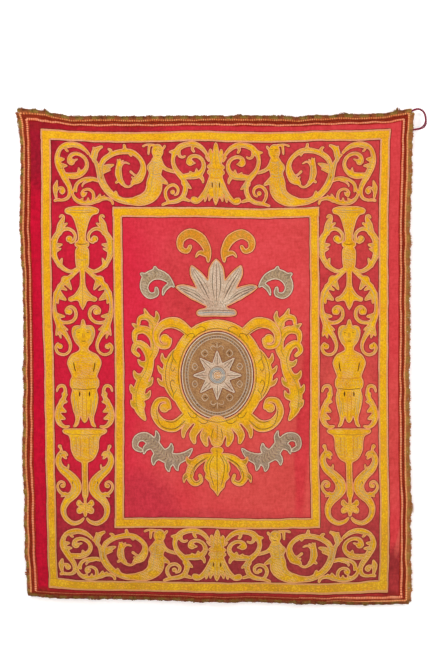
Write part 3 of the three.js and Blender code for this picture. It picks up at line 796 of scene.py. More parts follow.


# one sewn-on cloth with its edging cord, the dark thread of painted shadow round that, and its embroidered
# lines
def sewnCloth(name, cut, cloth, nodes, slot, lift, clear, edging):
    mesh, extra, edges, rimTree = shapedCloth(cut, lift, clear)
    radius, cordHeight = cutCloth["cordRadius"], lift + cutCloth["cordHeight"]
    parts, finishes = [(mesh, extra)], [cloth]
    if edges:
        draws = np.random.default_rng(len(edges[0][0]))
        cords = []
        for line, closed in edges:
            uneven = 1 + cutCloth["uneven"] * draws.uniform(-1, 1, len(line))
            cords.append((cordPoints(line, cordHeight, uneven), closed))
        parts.append(cordMesh(f"{name}_edging", cords, radius, seed=len(name)))
        finishes.append(edging)
        shades = []
        # a dark thread just outside the edging cord: painted shadow
        for line, closed in edges:
            outer = movedOut(line, closed, cutCloth["shadeOut"])
            shades.append((cordPoints(outer, lift + 0.9), closed))
        parts.append(cordMesh(f"{name}_shade", shades, cutCloth["shadeRadius"], rings=0, seed=5))
        finishes.append("shade")
    solid = np.vstack(cut.places)[cut.cells]
    byFinish = {}
    for finish, run, size in onlyOnCloth(cut.drawn, solid, rimTree):
        even = evenLine(run, 8)
        rims = np.array([rimTree.find((x, y, 0))[2] for x, y in even])
        height = lift + cutCloth["lift"] + surfaceHeight(rims) + 0.2
        byFinish.setdefault(finish, []).append((cordPoints(even, height, size, taper=9), False))
    for finish, lines in byFinish.items():
        parts.append(cordMesh(f"{name}_{finish}", lines, cutCloth["threadRadius"], rings=0, seed=7))
        finishes.append(finish)
    return finishPiece(name, parts, [looks[finish] for finish in finishes], nodes, slot)


def paint(red, green, blue):
    def linear(value):
        value /= 255
        return value / 12.92 if value <= 0.04045 else ((value + 0.055) / 1.055) ** 2.4

    return (linear(red), linear(green), linear(blue), 1.0)


# a shader socket, so that maths on it reads as a plain expression
class Wire:
    def __init__(self, look, socket):
        self.look, self.socket = look, socket

    def __add__(self, other):
        return self.look.maths("ADD", self, other)

    def __sub__(self, other):
        return self.look.maths("SUBTRACT", self, other)

    def __rsub__(self, other):
        return self.look.maths("SUBTRACT", other, self)

    def __mul__(self, other):
        return self.look.maths("MULTIPLY", self, other)

    def __truediv__(self, other):
        return self.look.maths("DIVIDE", self, other)

    __radd__ = __add__
    __rmul__ = __mul__


class Look:
    def __init__(self, name, roughness, sheen=0.0):
        self.material = bpy.data.materials.new(name)
        self.material.use_nodes = True
        self.tree = self.material.node_tree
        self.shader = self.tree.nodes["Principled BSDF"]
        self.shader.inputs["Roughness"].default_value = roughness
        self.shader.inputs["Specular IOR Level"].default_value = 0.12
        self.shader.inputs["Sheen Weight"].default_value = sheen
        self.shader.inputs["Sheen Roughness"].default_value = 0.5

    def node(self, kind, settings=None, values=None, output=0):
        made = self.tree.nodes.new(kind)
        for name, value in (settings or {}).items():
            if name == "stops":
                self.setStops(made.color_ramp, value)
            else:
                setattr(made, name, value)
        for name, value in (values or {}).items():
            self.feed(made.inputs[name], value)
        return Wire(self, made.outputs[output])

    def feed(self, socket, value):
        if isinstance(value, Wire):
            self.tree.links.new(value.socket, socket)
        else:
            socket.default_value = value

    def setStops(self, ramp, stops):
        while len(ramp.elements) < len(stops):
            ramp.elements.new(0.5)
        for element, (place, colour) in zip(ramp.elements, stops):
            element.position = place
            element.color = colour

    def attribute(self, name):
        return self.node("ShaderNodeAttribute", {"attribute_name": name}, output="Vector")

    def parts(self, vector):
        split = self.node("ShaderNodeSeparateXYZ", {}, {0: vector})
        return [Wire(self, socket) for socket in split.socket.node.outputs]

    def noise(self, vector, scale, detail=2.0, stretch=None):
        if stretch:
            vector = self.node("ShaderNodeMapping", {}, {"Vector": vector, "Scale": stretch})
        values = {"Vector": vector, "Scale": scale, "Detail": detail}
        return self.node("ShaderNodeTexNoise", {}, values)

    def mix(self, factor, first, second, blend="MIX"):
        settings = {"data_type": "RGBA", "blend_type": blend}
        return self.node("ShaderNodeMix", settings, {0: factor, 6: first, 7: second}, 2)

    # 1 where value is over edge, 0 under it, easing over soft
    def over(self, value, edge, soft):
        return self.clamp((value - edge) / soft + 0.5)

    def clamp(self, value):
        return self.node("ShaderNodeClamp", {}, {"Value": value})

    def maths(self, operation, *values):
        return self.node("ShaderNodeMath", {"operation": operation}, dict(enumerate(values)))

    def sine(self, value, period):
        return self.maths("SINE", value * (2 * math.pi / period))

    def colour(self, value):
        self.feed(self.shader.inputs["Base Color"], value)

    def roughness(self, value):
        self.feed(self.shader.inputs["Roughness"], value)

    def bump(self, height, distance, strength=1.0):
        values = {"Height": height, "Distance": distance, "Strength": strength}
        self.feed(self.shader.inputs["Normal"], self.node("ShaderNodeBump", {}, values))

    # lightens and darkens a colour by a wire about 0.5
    def shaded(self, colour, shade, amount):
        grey = self.clamp((shade - 0.5) * amount + 0.5)
        tone = self.node("ShaderNodeCombineColor", {}, {0: grey, 1: grey, 2: grey})
        return self.mix(1.0, colour, tone, "OVERLAY")


woolColours = {
    # each zone goes from its left colour to its right one, paler on the right: painted sheen of the light
    # from the right
    "marginLeft": (196, 10, 46),
    "marginRightSheen": (221, 66, 70),
    "borderLeft": (189, 26, 50),
    "borderRightSheen": (206, 66, 68),
    # the low border darker still: painted shade, as the light falls off towards the foot
    "borderLowShadedLeft": (146, 42, 52),
    "borderLowShadedRightSheen": (166, 62, 60),
    "fieldLeft": (222, 44, 70),
    "fieldRight": (231, 84, 80),
    "hem": (142, 38, 28),
    "weave": 0.0034,  # metres between threads
    "slub": 0.011,
    # half width, top and bottom of the red inside each frame, to the middle of its bands, in metres
    "border": (0.85, 0.09, 2.377),
    "field": (0.497, 0.473, 2.047),
    # faded and deeper patches, much of them painted sheen and shade along the folds, in metres: x, down,
    # reach in each, lean, colour and strength
    "sheenShadeAndFadePatches": [
        (-0.600, 1.080, 0.330, 0.860, 0, (222, 26, 60), 0.6),
        (-0.905, 1.150, 0.070, 0.900, 0, (210, 8, 48), 0.6),
        (0.330, 1.600, 0.760, 0.560, 0, (220, 90, 78), 0.5),
        (0.440, 1.560, 0.040, 0.560, -0.062, (212, 46, 60), 0.7),
        (-0.930, 0.060, 0.150, 0.330, 0, (130, 22, 38), 0.6),
        (-0.640, 0.040, 0.420, 0.050, 0, (150, 30, 30), 0.5),
        (0.905, 2.330, 0.090, 0.190, 0, (140, 44, 44), 0.75),
        (0.935, 2.110, 0.022, 0.130, -0.25, (222, 96, 84), 0.7),
        (0, 2.060, 0.560, 0.090, 0, (180, 52, 58), 0.4),
        (-0.400, 2.000, 0.230, 0.240, 0, (172, 42, 58), 0.4),
        (-0.090, 0.850, 0.200, 0.420, 0, (196, 62, 58), 0.35),
        (0.620, 0.450, 0.300, 0.400, 0, (212, 68, 66), 0.5),
        (0.690, 1.480, 0.160, 0.380, 0, (232, 92, 80), 0.5),
    ],
}


def woolLook(colours):
    look = Look("crimson wool", 0.93, sheen=0.04)
    flat = look.attribute("flat")
    x, down, front = look.parts(flat)
    size = look.maths("ABSOLUTE", x)
    across = look.clamp(x / (2 * groundCloth["halfWidth"] * millimetre) + 0.5)
    cloud = look.noise(flat, 5.0, 3.0)
    blotch = look.noise(flat, 24.0, 3.0)
    slub = look.noise(flat, 1 / colours["slub"], 2.0, (1.0, 0.45, 1.0))
    crossing = look.noise(flat, 1 / colours["slub"], 2.0, (0.4, 1.0, 1.0))
    grain = look.noise(flat, 420.0, 1.0)
    # paler towards the right: painted sheen
    margin = look.mix(across, paint(*colours["marginLeft"]), paint(*colours["marginRightSheen"]))
    border = look.mix(across, paint(*colours["borderLeft"]), paint(*colours["borderRightSheen"]))
    # the border darker towards the foot: painted shade
    low = look.over(down + (cloud - 0.5) * 0.25, 2.03, 0.36)
    borderLowShaded = look.mix(across, paint(*colours["borderLowShadedLeft"]), paint(*colours["borderLowShadedRightSheen"]))
    border = look.mix(low, border, borderLowShaded)
    field = look.mix(across, paint(*colours["fieldLeft"]), paint(*colours["fieldRight"]))
    base = margin
    for zone, red in (("border", border), ("field", field)):
        half, top, bottom = colours[zone]
        inside = look.over(half - size, 0, 0.01) * look.over(down, top, 0.01)
        inside = inside * look.over(bottom - down, 0, 0.01) * front
        base = look.mix(inside, base, red)
    # patches of painted sheen and shade along the folds, with some fading
    loose = (cloud - 0.5) * 0.9
    for middle, drop, reach, tall, lean, colour, strength in colours["sheenShadeAndFadePatches"]:
        out = (x - middle - (down - drop) * lean) / reach
        under = (down - drop) / tall
        weight = look.clamp((1.1 + loose - out * out - under * under) * 1.5) * front * strength
        base = look.mix(weight, base, paint(*colour))
    hem = look.over(down, 2.404, 0.02) * 0.9
    base = look.mix(hem, base, paint(*colours["hem"]))
    base = look.shaded(base, cloud, 0.3)
    base = look.shaded(base, blotch, 0.3)
    base = look.shaded(base, slub, 0.36)
    base = look.shaded(base, crossing, 0.28)
    base = look.shaded(base, grain, 0.45)
    weave = look.sine(x, colours["weave"]) * look.sine(down, colours["weave"])
    base = look.shaded(base, weave * 0.5 + 0.5, 0.2)
    look.colour(base)
    look.roughness(look.clamp(0.88 + blotch * 0.1))
    look.bump(weave * 0.5 + slub * 0.8 + crossing * 0.5 + grain * 0.5, 0.0009)
    return look.material


feltColours = {
    "top": (232, 167, 8),
    "low": (222, 161, 20),
    # darker at the foot: painted shade
    "foot": (198, 144, 24),
    "fleck": (192, 148, 38),
    "bright": (252, 200, 44),
    "stain": (222, 134, 38),
    "pale": (226, 178, 116),
}


# a laid-on cloth: its colour darkens down the hanging, which is painted shade, with flecks, stains, worn pale
# streaks, and a darker line just inside its edge
def feltLook(name, colours, streaks):
    look = Look(name, 0.9, 0.04)
    flat = look.attribute("flat")
    x, down, rim = look.parts(flat)
    cloud = look.noise(flat, 9.0, 3.0)
    blotch = look.noise(flat, 46.0, 3.0)
    speck = look.noise(flat, 118.0, 3.0)
    fibre = look.noise(flat, 260.0, 2.0, (1.0, 0.35, 1.0))
    grain = look.noise(flat, 600.0, 1.0)
    # duller lower down and darker at the foot of the hanging: painted shade
    base = look.mix(look.over(down, 1.5, 1.2), paint(*colours["top"]), paint(*colours["low"]))
    base = look.mix(look.over(down, 2.1, 0.3), base, paint(*colours["foot"]))
    base = look.mix(look.over(blotch, 0.6, 0.2) * 0.4, base, paint(*colours["stain"]))
    base = look.mix(look.over(speck, 0.57, 0.14) * 0.5, base, paint(*colours["fleck"]))
    base = look.mix(look.over(0.44 - speck, 0, 0.12) * 0.5, base, paint(*colours["bright"]))
    # embroidered shading: pale threads over parts of each shape
    patch = look.over(look.noise(flat, 15.0, 2.0), 0.52, 0.1)
    thread = look.over(look.sine(x + down * 0.6, 0.0092) + look.sine(down - x * 0.4, 0.0131), 0.2, 0.9)
    worn = patch * thread * streaks
    base = look.mix(worn, base, paint(*colours["pale"]))
    # a darker line just inside the edge
    darkerInsideRim = look.over(0.0075 - rim, 0, 0.003) * look.over(blotch, 0.46, 0.2) * 0.3
    base = look.mix(darkerInsideRim, base, paint(*colours["fleck"]))
    base = look.shaded(base, cloud, 0.35)
    base = look.shaded(base, fibre, 0.35)
    base = look.shaded(base, grain, 0.3)
    look.colour(base)
    look.roughness(look.clamp(0.84 + cloud * 0.12))
    look.bump(fibre * 0.8 + grain * 0.6 + worn * 0.7 + speck * 0.6, 0.0009)
    return look.material


# a laid or couched cord: its twist, and the dark stitches across it
def cordLook(name, colour, dark, pale, pitch=0.0075, stitched=0.6, low=None):
    look = Look(name, 0.85, 0.03)
    flat = look.attribute("flat")
    _, down, _ = look.parts(flat)
    along, own, _ = look.parts(look.attribute("cord"))
    stitch = look.over(look.maths("COSINE", along * (2 * math.pi / pitch)), 0.45, 0.8)
    twist = look.sine(along, pitch / 3.1)
    age = look.noise(flat, 38.0, 3.0)
    base = look.mix(look.over(age, 0.5, 0.3), paint(*colour), paint(*pale))
    if low:  # darker towards the foot of the hanging: painted shade
        base = look.mix(look.over(down, 1.95, 0.7) * 0.75, base, paint(*low))
    base = look.mix(stitch * stitched, base, paint(*dark))
    base = look.shaded(base, twist * 0.5 + 0.5, 0.2)
    base = look.shaded(base, own, 0.12)
    look.colour(base)
    look.bump(twist * 0.5 + stitch * -0.8, 0.0006)
    return look.material


# separate strands, each of its own colour off the ramp, with painted shade towards their outer ends and at
# the foot, and painted sheen along the right side
def fringeLook(name, stops):
    look = Look(name, 0.95, 0.05)
    flat = look.attribute("flat")
    x, down, _ = look.parts(flat)
    along, own, _ = look.parts(look.attribute("cord"))
    patch = look.noise(flat, 60.0, 3.0)
    pick = look.clamp(own * 0.5 + (patch - 0.5) * 2.6 + 0.25)
    base = look.node("ShaderNodeValToRGB", {"stops": stops}, {"Fac": pick})
    half, height = (groundCloth[size] * millimetre for size in ("halfWidth", "height"))
    aside = look.maths("ABSOLUTE", x) - half
    out = look.maths("MAXIMUM", aside, look.maths("MAXIMUM", 0 - down, down - height))
    # darker towards the strands' outer ends: painted shade
    base = look.mix(look.over(out, 0.014, 0.014) * 0.32, base, paint(96, 64, 36))
    base = look.mix(look.over(0 - down, 0.004, 0.012) * 0.35, base, paint(70, 44, 22))
    # paler along the right side: painted sheen
    base = look.mix(look.over(x, 0.95, 0.02) * 0.35, base, paint(212, 148, 80))
    # darker along the foot: painted shade
    base = look.mix(look.over(down, 2.425, 0.01) * 0.5, base, paint(94, 46, 22))
    base = look.shaded(base, look.noise(flat, 330.0, 2.0), 0.6)
    look.colour(base)
    look.bump(look.sine(along, 0.0021), 0.0004)
    return look.material


looks = {
    "wool": woolLook(woolColours),
    "felt": feltLook("yellow felt", feltColours, streaks=0.8),
    "band": feltLook("yellow band", feltColours, streaks=0.1),
    "creamFelt": feltLook(
        "cream felt",
        {"top": (206, 176, 150), "low": (204, 170, 142), "foot": (192, 152, 116),
         "fleck": (172, 134, 106), "bright": (226, 204, 182), "stain": (178, 140, 108),
         "pale": (226, 206, 184)},
        streaks=0.7,
    ),
    "brownFelt": feltLook(
        "brown felt",
        {"top": (160, 114, 72), "low": (156, 110, 70), "foot": (150, 106, 66),
         "fleck": (122, 84, 54), "bright": (190, 146, 98), "stain": (136, 92, 56),
         "pale": (190, 150, 104)},
        streaks=0.6,
    ),
    "grayFelt": feltLook(
        "gray felt",
        {"top": (172, 144, 112), "low": (164, 132, 114), "foot": (160, 130, 116),
         "fleck": (128, 108, 84), "bright": (190, 164, 140), "stain": (146, 116, 78),
         "pale": (196, 176, 156)},
        streaks=0.7,
    ),
    "orangeFelt": feltLook(
        "orange felt",
        {"top": (222, 138, 30), "low": (214, 150, 38), "foot": (206, 140, 40),
         "fleck": (150, 136, 40), "bright": (238, 168, 52), "stain": (196, 96, 36),
         "pale": (226, 176, 96)},
        streaks=0.6,
    ),
    "edging": cordLook(
        "edging cord", (246, 172, 96), (222, 138, 84), (255, 180, 138), stitched=0.4, low=(228, 170, 104)
    ),
    "bandEdging": cordLook(
        "band cord", (246, 174, 116), (214, 132, 88), (250, 186, 146), stitched=0.5, low=(214, 160, 98)
    ),
    "creamEdging": cordLook("cream cord", (232, 206, 176), (176, 140, 110), (240, 220, 196)),
    # a dark red thread laid beside the cords: painted shadow
    "shade": cordLook("dark red thread", (132, 16, 18), (84, 14, 18), (150, 26, 30), 0.006),
    # a dark thread where the cloth is slit: painted shade of the slit
    "slit": cordLook("dark brown thread", (88, 22, 18), (60, 14, 12), (100, 34, 24), 0.006),
    "vein": cordLook("brown thread", (206, 150, 58), (180, 122, 48), (214, 166, 84), 0.005),
    "pale": cordLook("pale thread", (212, 184, 128), (180, 150, 96), (220, 196, 156), 0.005),
    "pink": cordLook("salmon thread", (232, 162, 104), (206, 130, 76), (238, 184, 138), 0.005),
    "cream": cordLook("cream thread", (226, 202, 174), (190, 160, 130), (236, 216, 192), 0.005),
    "dark": cordLook("dark thread", (96, 60, 38), (64, 38, 28), (120, 80, 50), 0.005),
    "gray": cordLook("gray thread", (136, 118, 96), (104, 88, 70), (156, 140, 118), 0.005),
    "olive": cordLook("olive thread", (152, 138, 46), (120, 104, 34), (172, 158, 70), 0.005),
    "blue": cordLook("blue thread", (140, 166, 178), (98, 124, 140), (172, 192, 196), 0.005),
    "gold": cordLook("gold thread", (232, 156, 46), (190, 116, 36), (240, 178, 80), 0.005),
}
print("finishes ready")

# the hanging loop, a doubled cord sewn behind the right top corner
loopCord = {
    "diameter": 0.0115,
    "strand": 0.0031,  # radius of one of its two strands
    "turns": 17,
    "clearance": 0.0072,  # the sewn ends' centre line is this far behind the cloth's face
    # right, back (None where it is sewn down) and up from the corner, in metres
    "route": [
        (-0.030, None, -0.030), (-0.014, None, -0.017), (0.004, None, -0.003),
        (0.017, 0.0058, 0.006), (0.030, 0.0032, 0.012), (0.044, 0.0005, 0.0145),
        (0.058, -0.002, 0.011), (0.070, -0.005, 0.002), (0.079, -0.007, -0.014),
        (0.083, -0.0075, -0.036), (0.082, -0.007, -0.058), (0.074, -0.005, -0.074),
        (0.058, 0.0, -0.084), (0.038, 0.0045, -0.088), (0.020, None, -0.090),
        (0.002, None, -0.091), (-0.016, None, -0.090), (-0.032, None, -0.087),
    ],
    "partFrom": 0.52,  # the strands part between these shares of its length
    "partTo": 0.74,
    "part": 0.0028,
}


def loopRoute(settings):
    half = groundCloth["halfWidth"]
    corner = hungPoint(half, 0)
    route = []
    for right, back, up in settings["route"]:
        spot = hungPoint(half + min(right / millimetre, 0), max(-up / millimetre, 0))
        behind = settings["clearance"] if back is None else back
        route.append((corner[0] + right, spot[1] + behind, corner[2] + up))
    return np.array(route)


def makeLoop(settings):
    route = loopRoute(settings)
    line, _ = smoothLine(route, 0.0022)
    along = np.gradient(line, axis=0)
    along /= np.linalg.norm(along, axis=1)[:, None]
    outward = np.cross(along, (0, 1, 0))
    outward /= np.linalg.norm(outward, axis=1)[:, None]
    aside = np.cross(along, outward)
    share = lengthsAlong(line) / lengthsAlong(line)[-1]
    turn = (share * settings["turns"] * 2 * math.pi)[:, None]
    middle = (settings["partFrom"] + settings["partTo"]) / 2
    reach = (settings["partTo"] - settings["partFrom"]) / 2
    parted = ease(np.clip(1 - np.abs(share - middle) / reach, 0, 1))[:, None]
    off = (settings["diameter"] / 2 - settings["strand"]) + settings["part"] * parted
    curve = bpy.data.curves.new("hanging_loop_cord", "CURVE")
    curve.dimensions = "3D"
    curve.bevel_depth = settings["strand"]
    curve.bevel_resolution = 2
    lengths = []
    for half in (0, math.pi):
        around = outward * np.cos(turn + half) + aside * np.sin(turn + half)
        strand = line + around * off
        spline = curve.splines.new("POLY")
        spline.points.add(len(strand) - 1)
        spline.points.foreach_set("co", np.column_stack([strand, np.ones(len(strand))]).ravel())
        lengths.append(np.repeat(lengthsAlong(strand), 8))
    mesh = bpy.data.meshes.new_from_object(bpy.data.objects.new("loop", curve))
    mesh.name = "hanging_loop_cord"
    along = np.concatenate(lengths)
    extra = np.column_stack([along, along * 0 + 0.5, along * 0])
    mesh.attributes.new("cord", "FLOAT_VECTOR", "POINT").data.foreach_set("vector", extra.ravel())
    flat = coordinatesOf(mesh)[:, [0, 2, 1]] * [1, -1, 1]
    mesh.attributes.new("flat", "FLOAT_VECTOR", "POINT").data.foreach_set("vector", flat.ravel())
    bm = bmesh.new()
    bm.from_mesh(mesh)
    bmesh.ops.holes_fill(bm, edges=[edge for edge in bm.edges if edge.is_boundary], sides=8)
    bmesh.ops.recalc_face_normals(bm, faces=bm.faces)
    for face in bm.faces:
        face.smooth = True
    bm.to_mesh(mesh)
    bm.free()
    mesh.materials.append(
        cordLook("crimson cord", (140, 28, 60), (94, 14, 38), (164, 48, 80), 0.0052)
    )
    loop = bpy.data.objects.new("hanging_loop_cord", mesh)
    scene.collection.objects.link(loop)
    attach(loop, "root")
    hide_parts("hanging_loop")
    length = float(lengthsAlong(line)[-1])
    print("hanging loop:", round(length, 3), "m")


makeLoop(loopCord)


def makeGround(settings):
    half, height = settings["halfWidth"], settings["height"]
    bm = flatGrid(-half, half, 0, height, settings["across"], settings["along"])
    mesh = thickened(bm, -settings["thick"], 0)
    extra = plainExtra(mesh, 0)
    extra[:, 2] = coordinatesOf(mesh)[:, 2] > -settings["thick"] / 2  # 1 on the front
    return finishPiece(
        "ground_wool", [(mesh, extra)], [looks["wool"]], ["ground_cloth"], "crimson_wool"
    )


ground = makeGround(groundCloth)
print("ground cloth hung")

# the yellow frames: bands of cloth with two cords along each edge
bands = {
    "frame_outer": {"half": 873, "top": 68, "bottom": 2400, "wide": 47},
    "frame_inner": {"half": 520, "top": 450, "bottom": 2070, "wide": 46},
    "middle": 1234,
    "step": 11,
    "gap": 0.3,
    "underCord": 2.4,  # the cloth's edge is this far in from the band's
    "wobble": 0.54,  # of the cords along the edges
    "cords": [(0.4, 0.85), (-3.6, 0.6)],  # out from the edge, and thickness
    "uprightIn": 2.2,  # the cords of the upright bands lie this much further in
    "shadeOut": 4.4,
}


def wobbled(line, seed, amount):
    draws = random.Random(seed)
    a, b, c = (draws.uniform(0, 6) for _ in range(3))
    along = lengthsAlong(line)
    off = amount * (np.sin(along / 47 + a) + 0.7 * np.sin(along / 21 + b) + 0.4 * np.sin(along / 9 + c))
    way = np.gradient(line, axis=0)
    way /= np.linalg.norm(way, axis=1)[:, None]
    return line + np.stack([-way[:, 1], way[:, 0]], axis=1) * off[:, None]


# a level band runs the full width, and the upright ones butt against it between their cords
def makeBand(name, left, right, top, bottom, seed):
    level = right - left > bottom - top
    trim = bands["underCord"]
    if level:
        box = (left, right, top + trim, bottom - trim)
    else:
        box = (left + trim, right - trim, top - trim, bottom + trim)
    across = 6 if not level else round((right - left) / bands["step"])
    along = 6 if level else round((bottom - top) / bands["step"])
    bm = flatGrid(*box, across, along)

    def raised(x, down):
        rim = min(down - box[2], box[3] - down) if level else min(x - box[0], box[1] - x)
        pucker = math.sin(x / 13 + down / 17) * math.sin(down / 11 - x / 19)
        return surfaceHeight(max(rim, 0)) + 0.3 * pucker

    mesh = thickened(bm, cutCloth["lift"], cutCloth["lift"], raised)
    flat = coordinatesOf(mesh)
    x, down = flat[:, 0], -flat[:, 1]
    rim = np.minimum(down - top, bottom - down) if level else np.minimum(x - left, right - x)
    extra = np.column_stack([rim * 0, rim * 0 + 0.5, np.clip(rim, 0, None) * millimetre])
    inset = bottom - top if level else right - left
    if not level:
        runs = [((left, top), (left, bottom), -1), ((right, top), (right, bottom), 1)]
    else:
        outer, inner = (top, bottom) if top < bands["middle"] else (bottom, top)
        up = -1 if outer == top else 1
        runs = [((left, outer), (right, outer), up), ((left + inset, inner), (right - inset, inner), -up)]
        runs += [((left, top), (left, bottom), -1), ((right, top), (right, bottom), 1)]
    cords, shades = [], []
    draws = np.random.default_rng(seed)
    for k, (start, end, side) in enumerate(runs):
        line = evenLine([start, end], cutCloth["cordStep"])
        line = wobbled(line, seed + k, bands["wobble"])
        out = np.array([0.0, side]) if start[1] == end[1] else np.array([side, 0.0])
        drawnIn = 0 if level else bands["uprightIn"]
        for offset, thickness in bands["cords"]:
            uneven = thickness * (1 + cutCloth["uneven"] * draws.uniform(-1, 1, len(line)))
            cord = cordPoints(line + out * (offset - drawnIn), cutCloth["cordHeight"], uneven)
            cords.append((cord, False))
        # a dark thread beside each run of cords: painted shadow
        shades.append((cordPoints(line + out * (bands["shadeOut"] - drawnIn), 0.9, 1.1), False))
    parts = [
        (mesh, extra),
        cordMesh(f"{name}_edging", cords, cutCloth["cordRadius"], seed=seed),
        cordMesh(f"{name}_shade", shades, cutCloth["shadeRadius"], rings=0, seed=seed),
    ]
    lay = np.array([(left, top), (right, top), (right, bottom), (left, bottom)], float)
    laid.append((lay[[[0, 1, 2], [0, 2, 3]]], lay[[[0, 1], [1, 2], [2, 3], [3, 0]]]))
    seams.append(evenLine(lay, 1.5, closed=True))
    finishes = [looks["band"], looks["bandEdging"], looks["shade"]]
    return finishPiece(f"{name}_band", parts, finishes, [name], "yellow_felt")


def makeFrame(prefix, settings, seed):
    half, top, bottom, wide = (settings[key] for key in ("half", "top", "bottom", "wide"))
    gap = bands["gap"]
    makeBand(f"{prefix}_top", -half, half, top, top + wide, seed)
    makeBand(f"{prefix}_bottom", -half, half, bottom - wide, bottom, seed + 2)
    upright = (top + wide + gap, bottom - wide - gap)
    makeBand(f"{prefix}_left", -half, wide - half, *upright, seed + 4)
    makeBand(f"{prefix}_right", half - wide, half, *upright, seed + 6)


makeFrame("frame_outer", bands["frame_outer"], 11)
makeFrame("frame_inner", bands["frame_inner"], 23)
print("frames sewn on")

# the striped galloon: a dark ribbon with ribbed and beaded cords along it
galloon = {
    "wide": 36,
    "bottomWide": 13,
    "thick": 1.5,
    "step": 12,
    # offset from the cloth's edge, radius, height, bead pitch, how deep the beads, finish
    "cords": [
        (1.2, 4.9, 2.4, 7.6, 0.36, "outerStripe"),
        (9.6, 2.5, 1.9, 8.4, 0.5, "beads"),
        (15.2, 2.5, 1.9, 8.4, 0.5, "beads"),
        (24.4, 5.2, 1.7, 8.3, 0.36, "innerStripe"),
        # a red cord on the ribbon's inner edge: partly the ribbon's own red edge, partly painted shadow
        # beside the galloon
        (31.8, 1.5, 1.4, 8.3, 0.2, "redEdge"),
    ],
    "topShift": 5.5,  # the top run lies this much further in
    "flatness": 0.6,  # of the cords, which are woven flat
    # the turned-under bottom shows its stripes between these places: x from and to, and down
    "bottomEnd": [("outerStripe", 560, 960, 2431, 4.4), ("innerStripe", 420, 945, 2417, 3.8)],
    "bottomCords": [
        (-1.0, 3.0, 1.9, 7.4, 0.4, "beads"),
        (5.0, 3.2, 1.9, 7.4, 0.4, "beads"),
        (10.6, 2.4, 1.6, 7.8, 0.3, "lowStripe"),
    ],
}
looks["ribbon"] = feltLook(
    "galloon ribbon",
    {"top": (138, 32, 12), "low": (142, 32, 16), "foot": (134, 34, 20), "fleck": (92, 18, 8),
     "bright": (176, 56, 26), "stain": (104, 22, 10), "pale": (196, 92, 46)},
    streaks=0.35,
)
looks["outerStripe"] = cordLook(
    "galloon gold stripe", (255, 164, 106), (176, 66, 30), (250, 178, 118), 0.0076, 0.95
)
looks["topStripe"] = cordLook(
    "galloon flecked stripe", (222, 112, 54), (112, 30, 14), (244, 160, 100), 0.0112, 0.95
)
looks["innerStripe"] = cordLook(
    "galloon salmon stripe", (255, 150, 104), (180, 48, 28), (255, 174, 132), 0.0083, 0.95
)
looks["lowStripe"] = cordLook(
    "galloon low stripe", (196, 98, 68), (140, 54, 34), (208, 124, 88), 0.0083, 0.8
)
looks["beads"] = cordLook("galloon dark beads", (136, 38, 14), (84, 12, 4), (158, 52, 26), 0.0084, 0.9)
looks["redEdge"] = cordLook("galloon red edge", (190, 26, 24), (146, 16, 18), (200, 36, 32), 0.0083)
galloonFinishes = ["ribbon", "outerStripe", "topStripe", "beads", "innerStripe", "redEdge", "lowStripe"]


def beaded(line, height, pitch, deep, seed, loose):
    even = evenLine(line, pitch / 2)
    even = wobbled(even, seed, loose)
    points = cordPoints(even, height)
    draws = np.random.default_rng(seed)
    points[::2, 3] *= 1 - deep
    points[:, 3] *= draws.uniform(0.88, 1.1, len(points))
    return points


def makeGalloon(side, ribbon, runs, nodes, seed):
    left, right, top, bottom = ribbon
    across = max(3, round((right - left) / galloon["step"]))
    along = max(3, round((bottom - top) / galloon["step"]))
    bm = flatGrid(left, right, top, bottom, across, along)
    mesh = thickened(bm, cutCloth["lift"], cutCloth["lift"] + galloon["thick"])
    parts = [(mesh, plainExtra(mesh, 0.02))]
    byFinish = {name: [] for name in galloonFinishes[1:]}
    for k, (line, radius, height, pitch, deep, finish) in enumerate(runs):
        points = beaded(line, height, pitch, deep, seed + k, 1.3 if side == "top" else 0.6)
        points[:, 3] *= radius
        if finish != "beads" and side == "bottom" and line[0][0] > 0:
            points[:, 3] *= np.clip(lengthsAlong(points[:, :2]) / 300, 0.3, 1)
        byFinish[finish].append((points, False))
    used = [name for name in byFinish if byFinish[name]]
    for name in used:
        cords, along = cordMesh(f"galloon_{side}_{name}", byFinish[name], 1.0, seed=seed)
        places, height = coordinatesOf(cords), byFinish[name][0][0][0, 2]
        places[:, 2] = height + (places[:, 2] - height) * galloon["flatness"]
        cords.vertices.foreach_set("co", places.ravel())
        parts.append((cords, along))
    finishes = [looks["ribbon"], *(looks[name] for name in used)]
    finishPiece(f"galloon_{side}_braid", parts, finishes, nodes, "galloon")


def makeGalloons(settings):
    half, height = groundCloth["halfWidth"], groundCloth["height"]
    wide, foot = settings["wide"], settings["bottomWide"]
    runs = {"top": [], "left": [], "right": [], "bottom": []}
    low = settings["bottomCords"][-1][0]
    for offset, *rest in settings["cords"]:
        inner, top = half - offset, offset + settings["topShift"]
        finish = "topStripe" if rest[-1] == "outerStripe" else rest[-1]
        runs["top"].append(([(-inner, top), (inner, top)], *rest[:-1], finish))
        end = height - min(offset, low + 0.1 * offset)
        runs["left"].append(([(-inner, top), (-inner, end)], *rest))
        runs["right"].append(([(inner, top), (inner, end)], *rest))
    for offset, *rest in settings["bottomCords"]:
        inner = half - (settings["cords"][3][0] if offset == low else offset)
        runs["bottom"].append(([(-inner, height - offset), (inner, height - offset)], *rest))
    for finish, start, end, down, radius in settings["bottomEnd"]:
        runs["bottom"].append(([(start, down), (end, down)], radius, 3.0, 7.8, 0.3, finish))
    gap = bands["gap"]
    sides = {
        "top": (-half, half, 0, wide),
        "bottom": (-half, half, height - foot, height),
        "left": (-half, wide - half, wide + gap, height - foot - gap),
        "right": (half - wide, half, wide + gap, height - foot - gap),
    }
    for k, (side, ribbon) in enumerate(sides.items()):
        makeGalloon(side, ribbon, runs[side], [f"galloon_{side}"], 40 + 10 * k)


makeGalloons(galloon)
print("galloon sewn on")

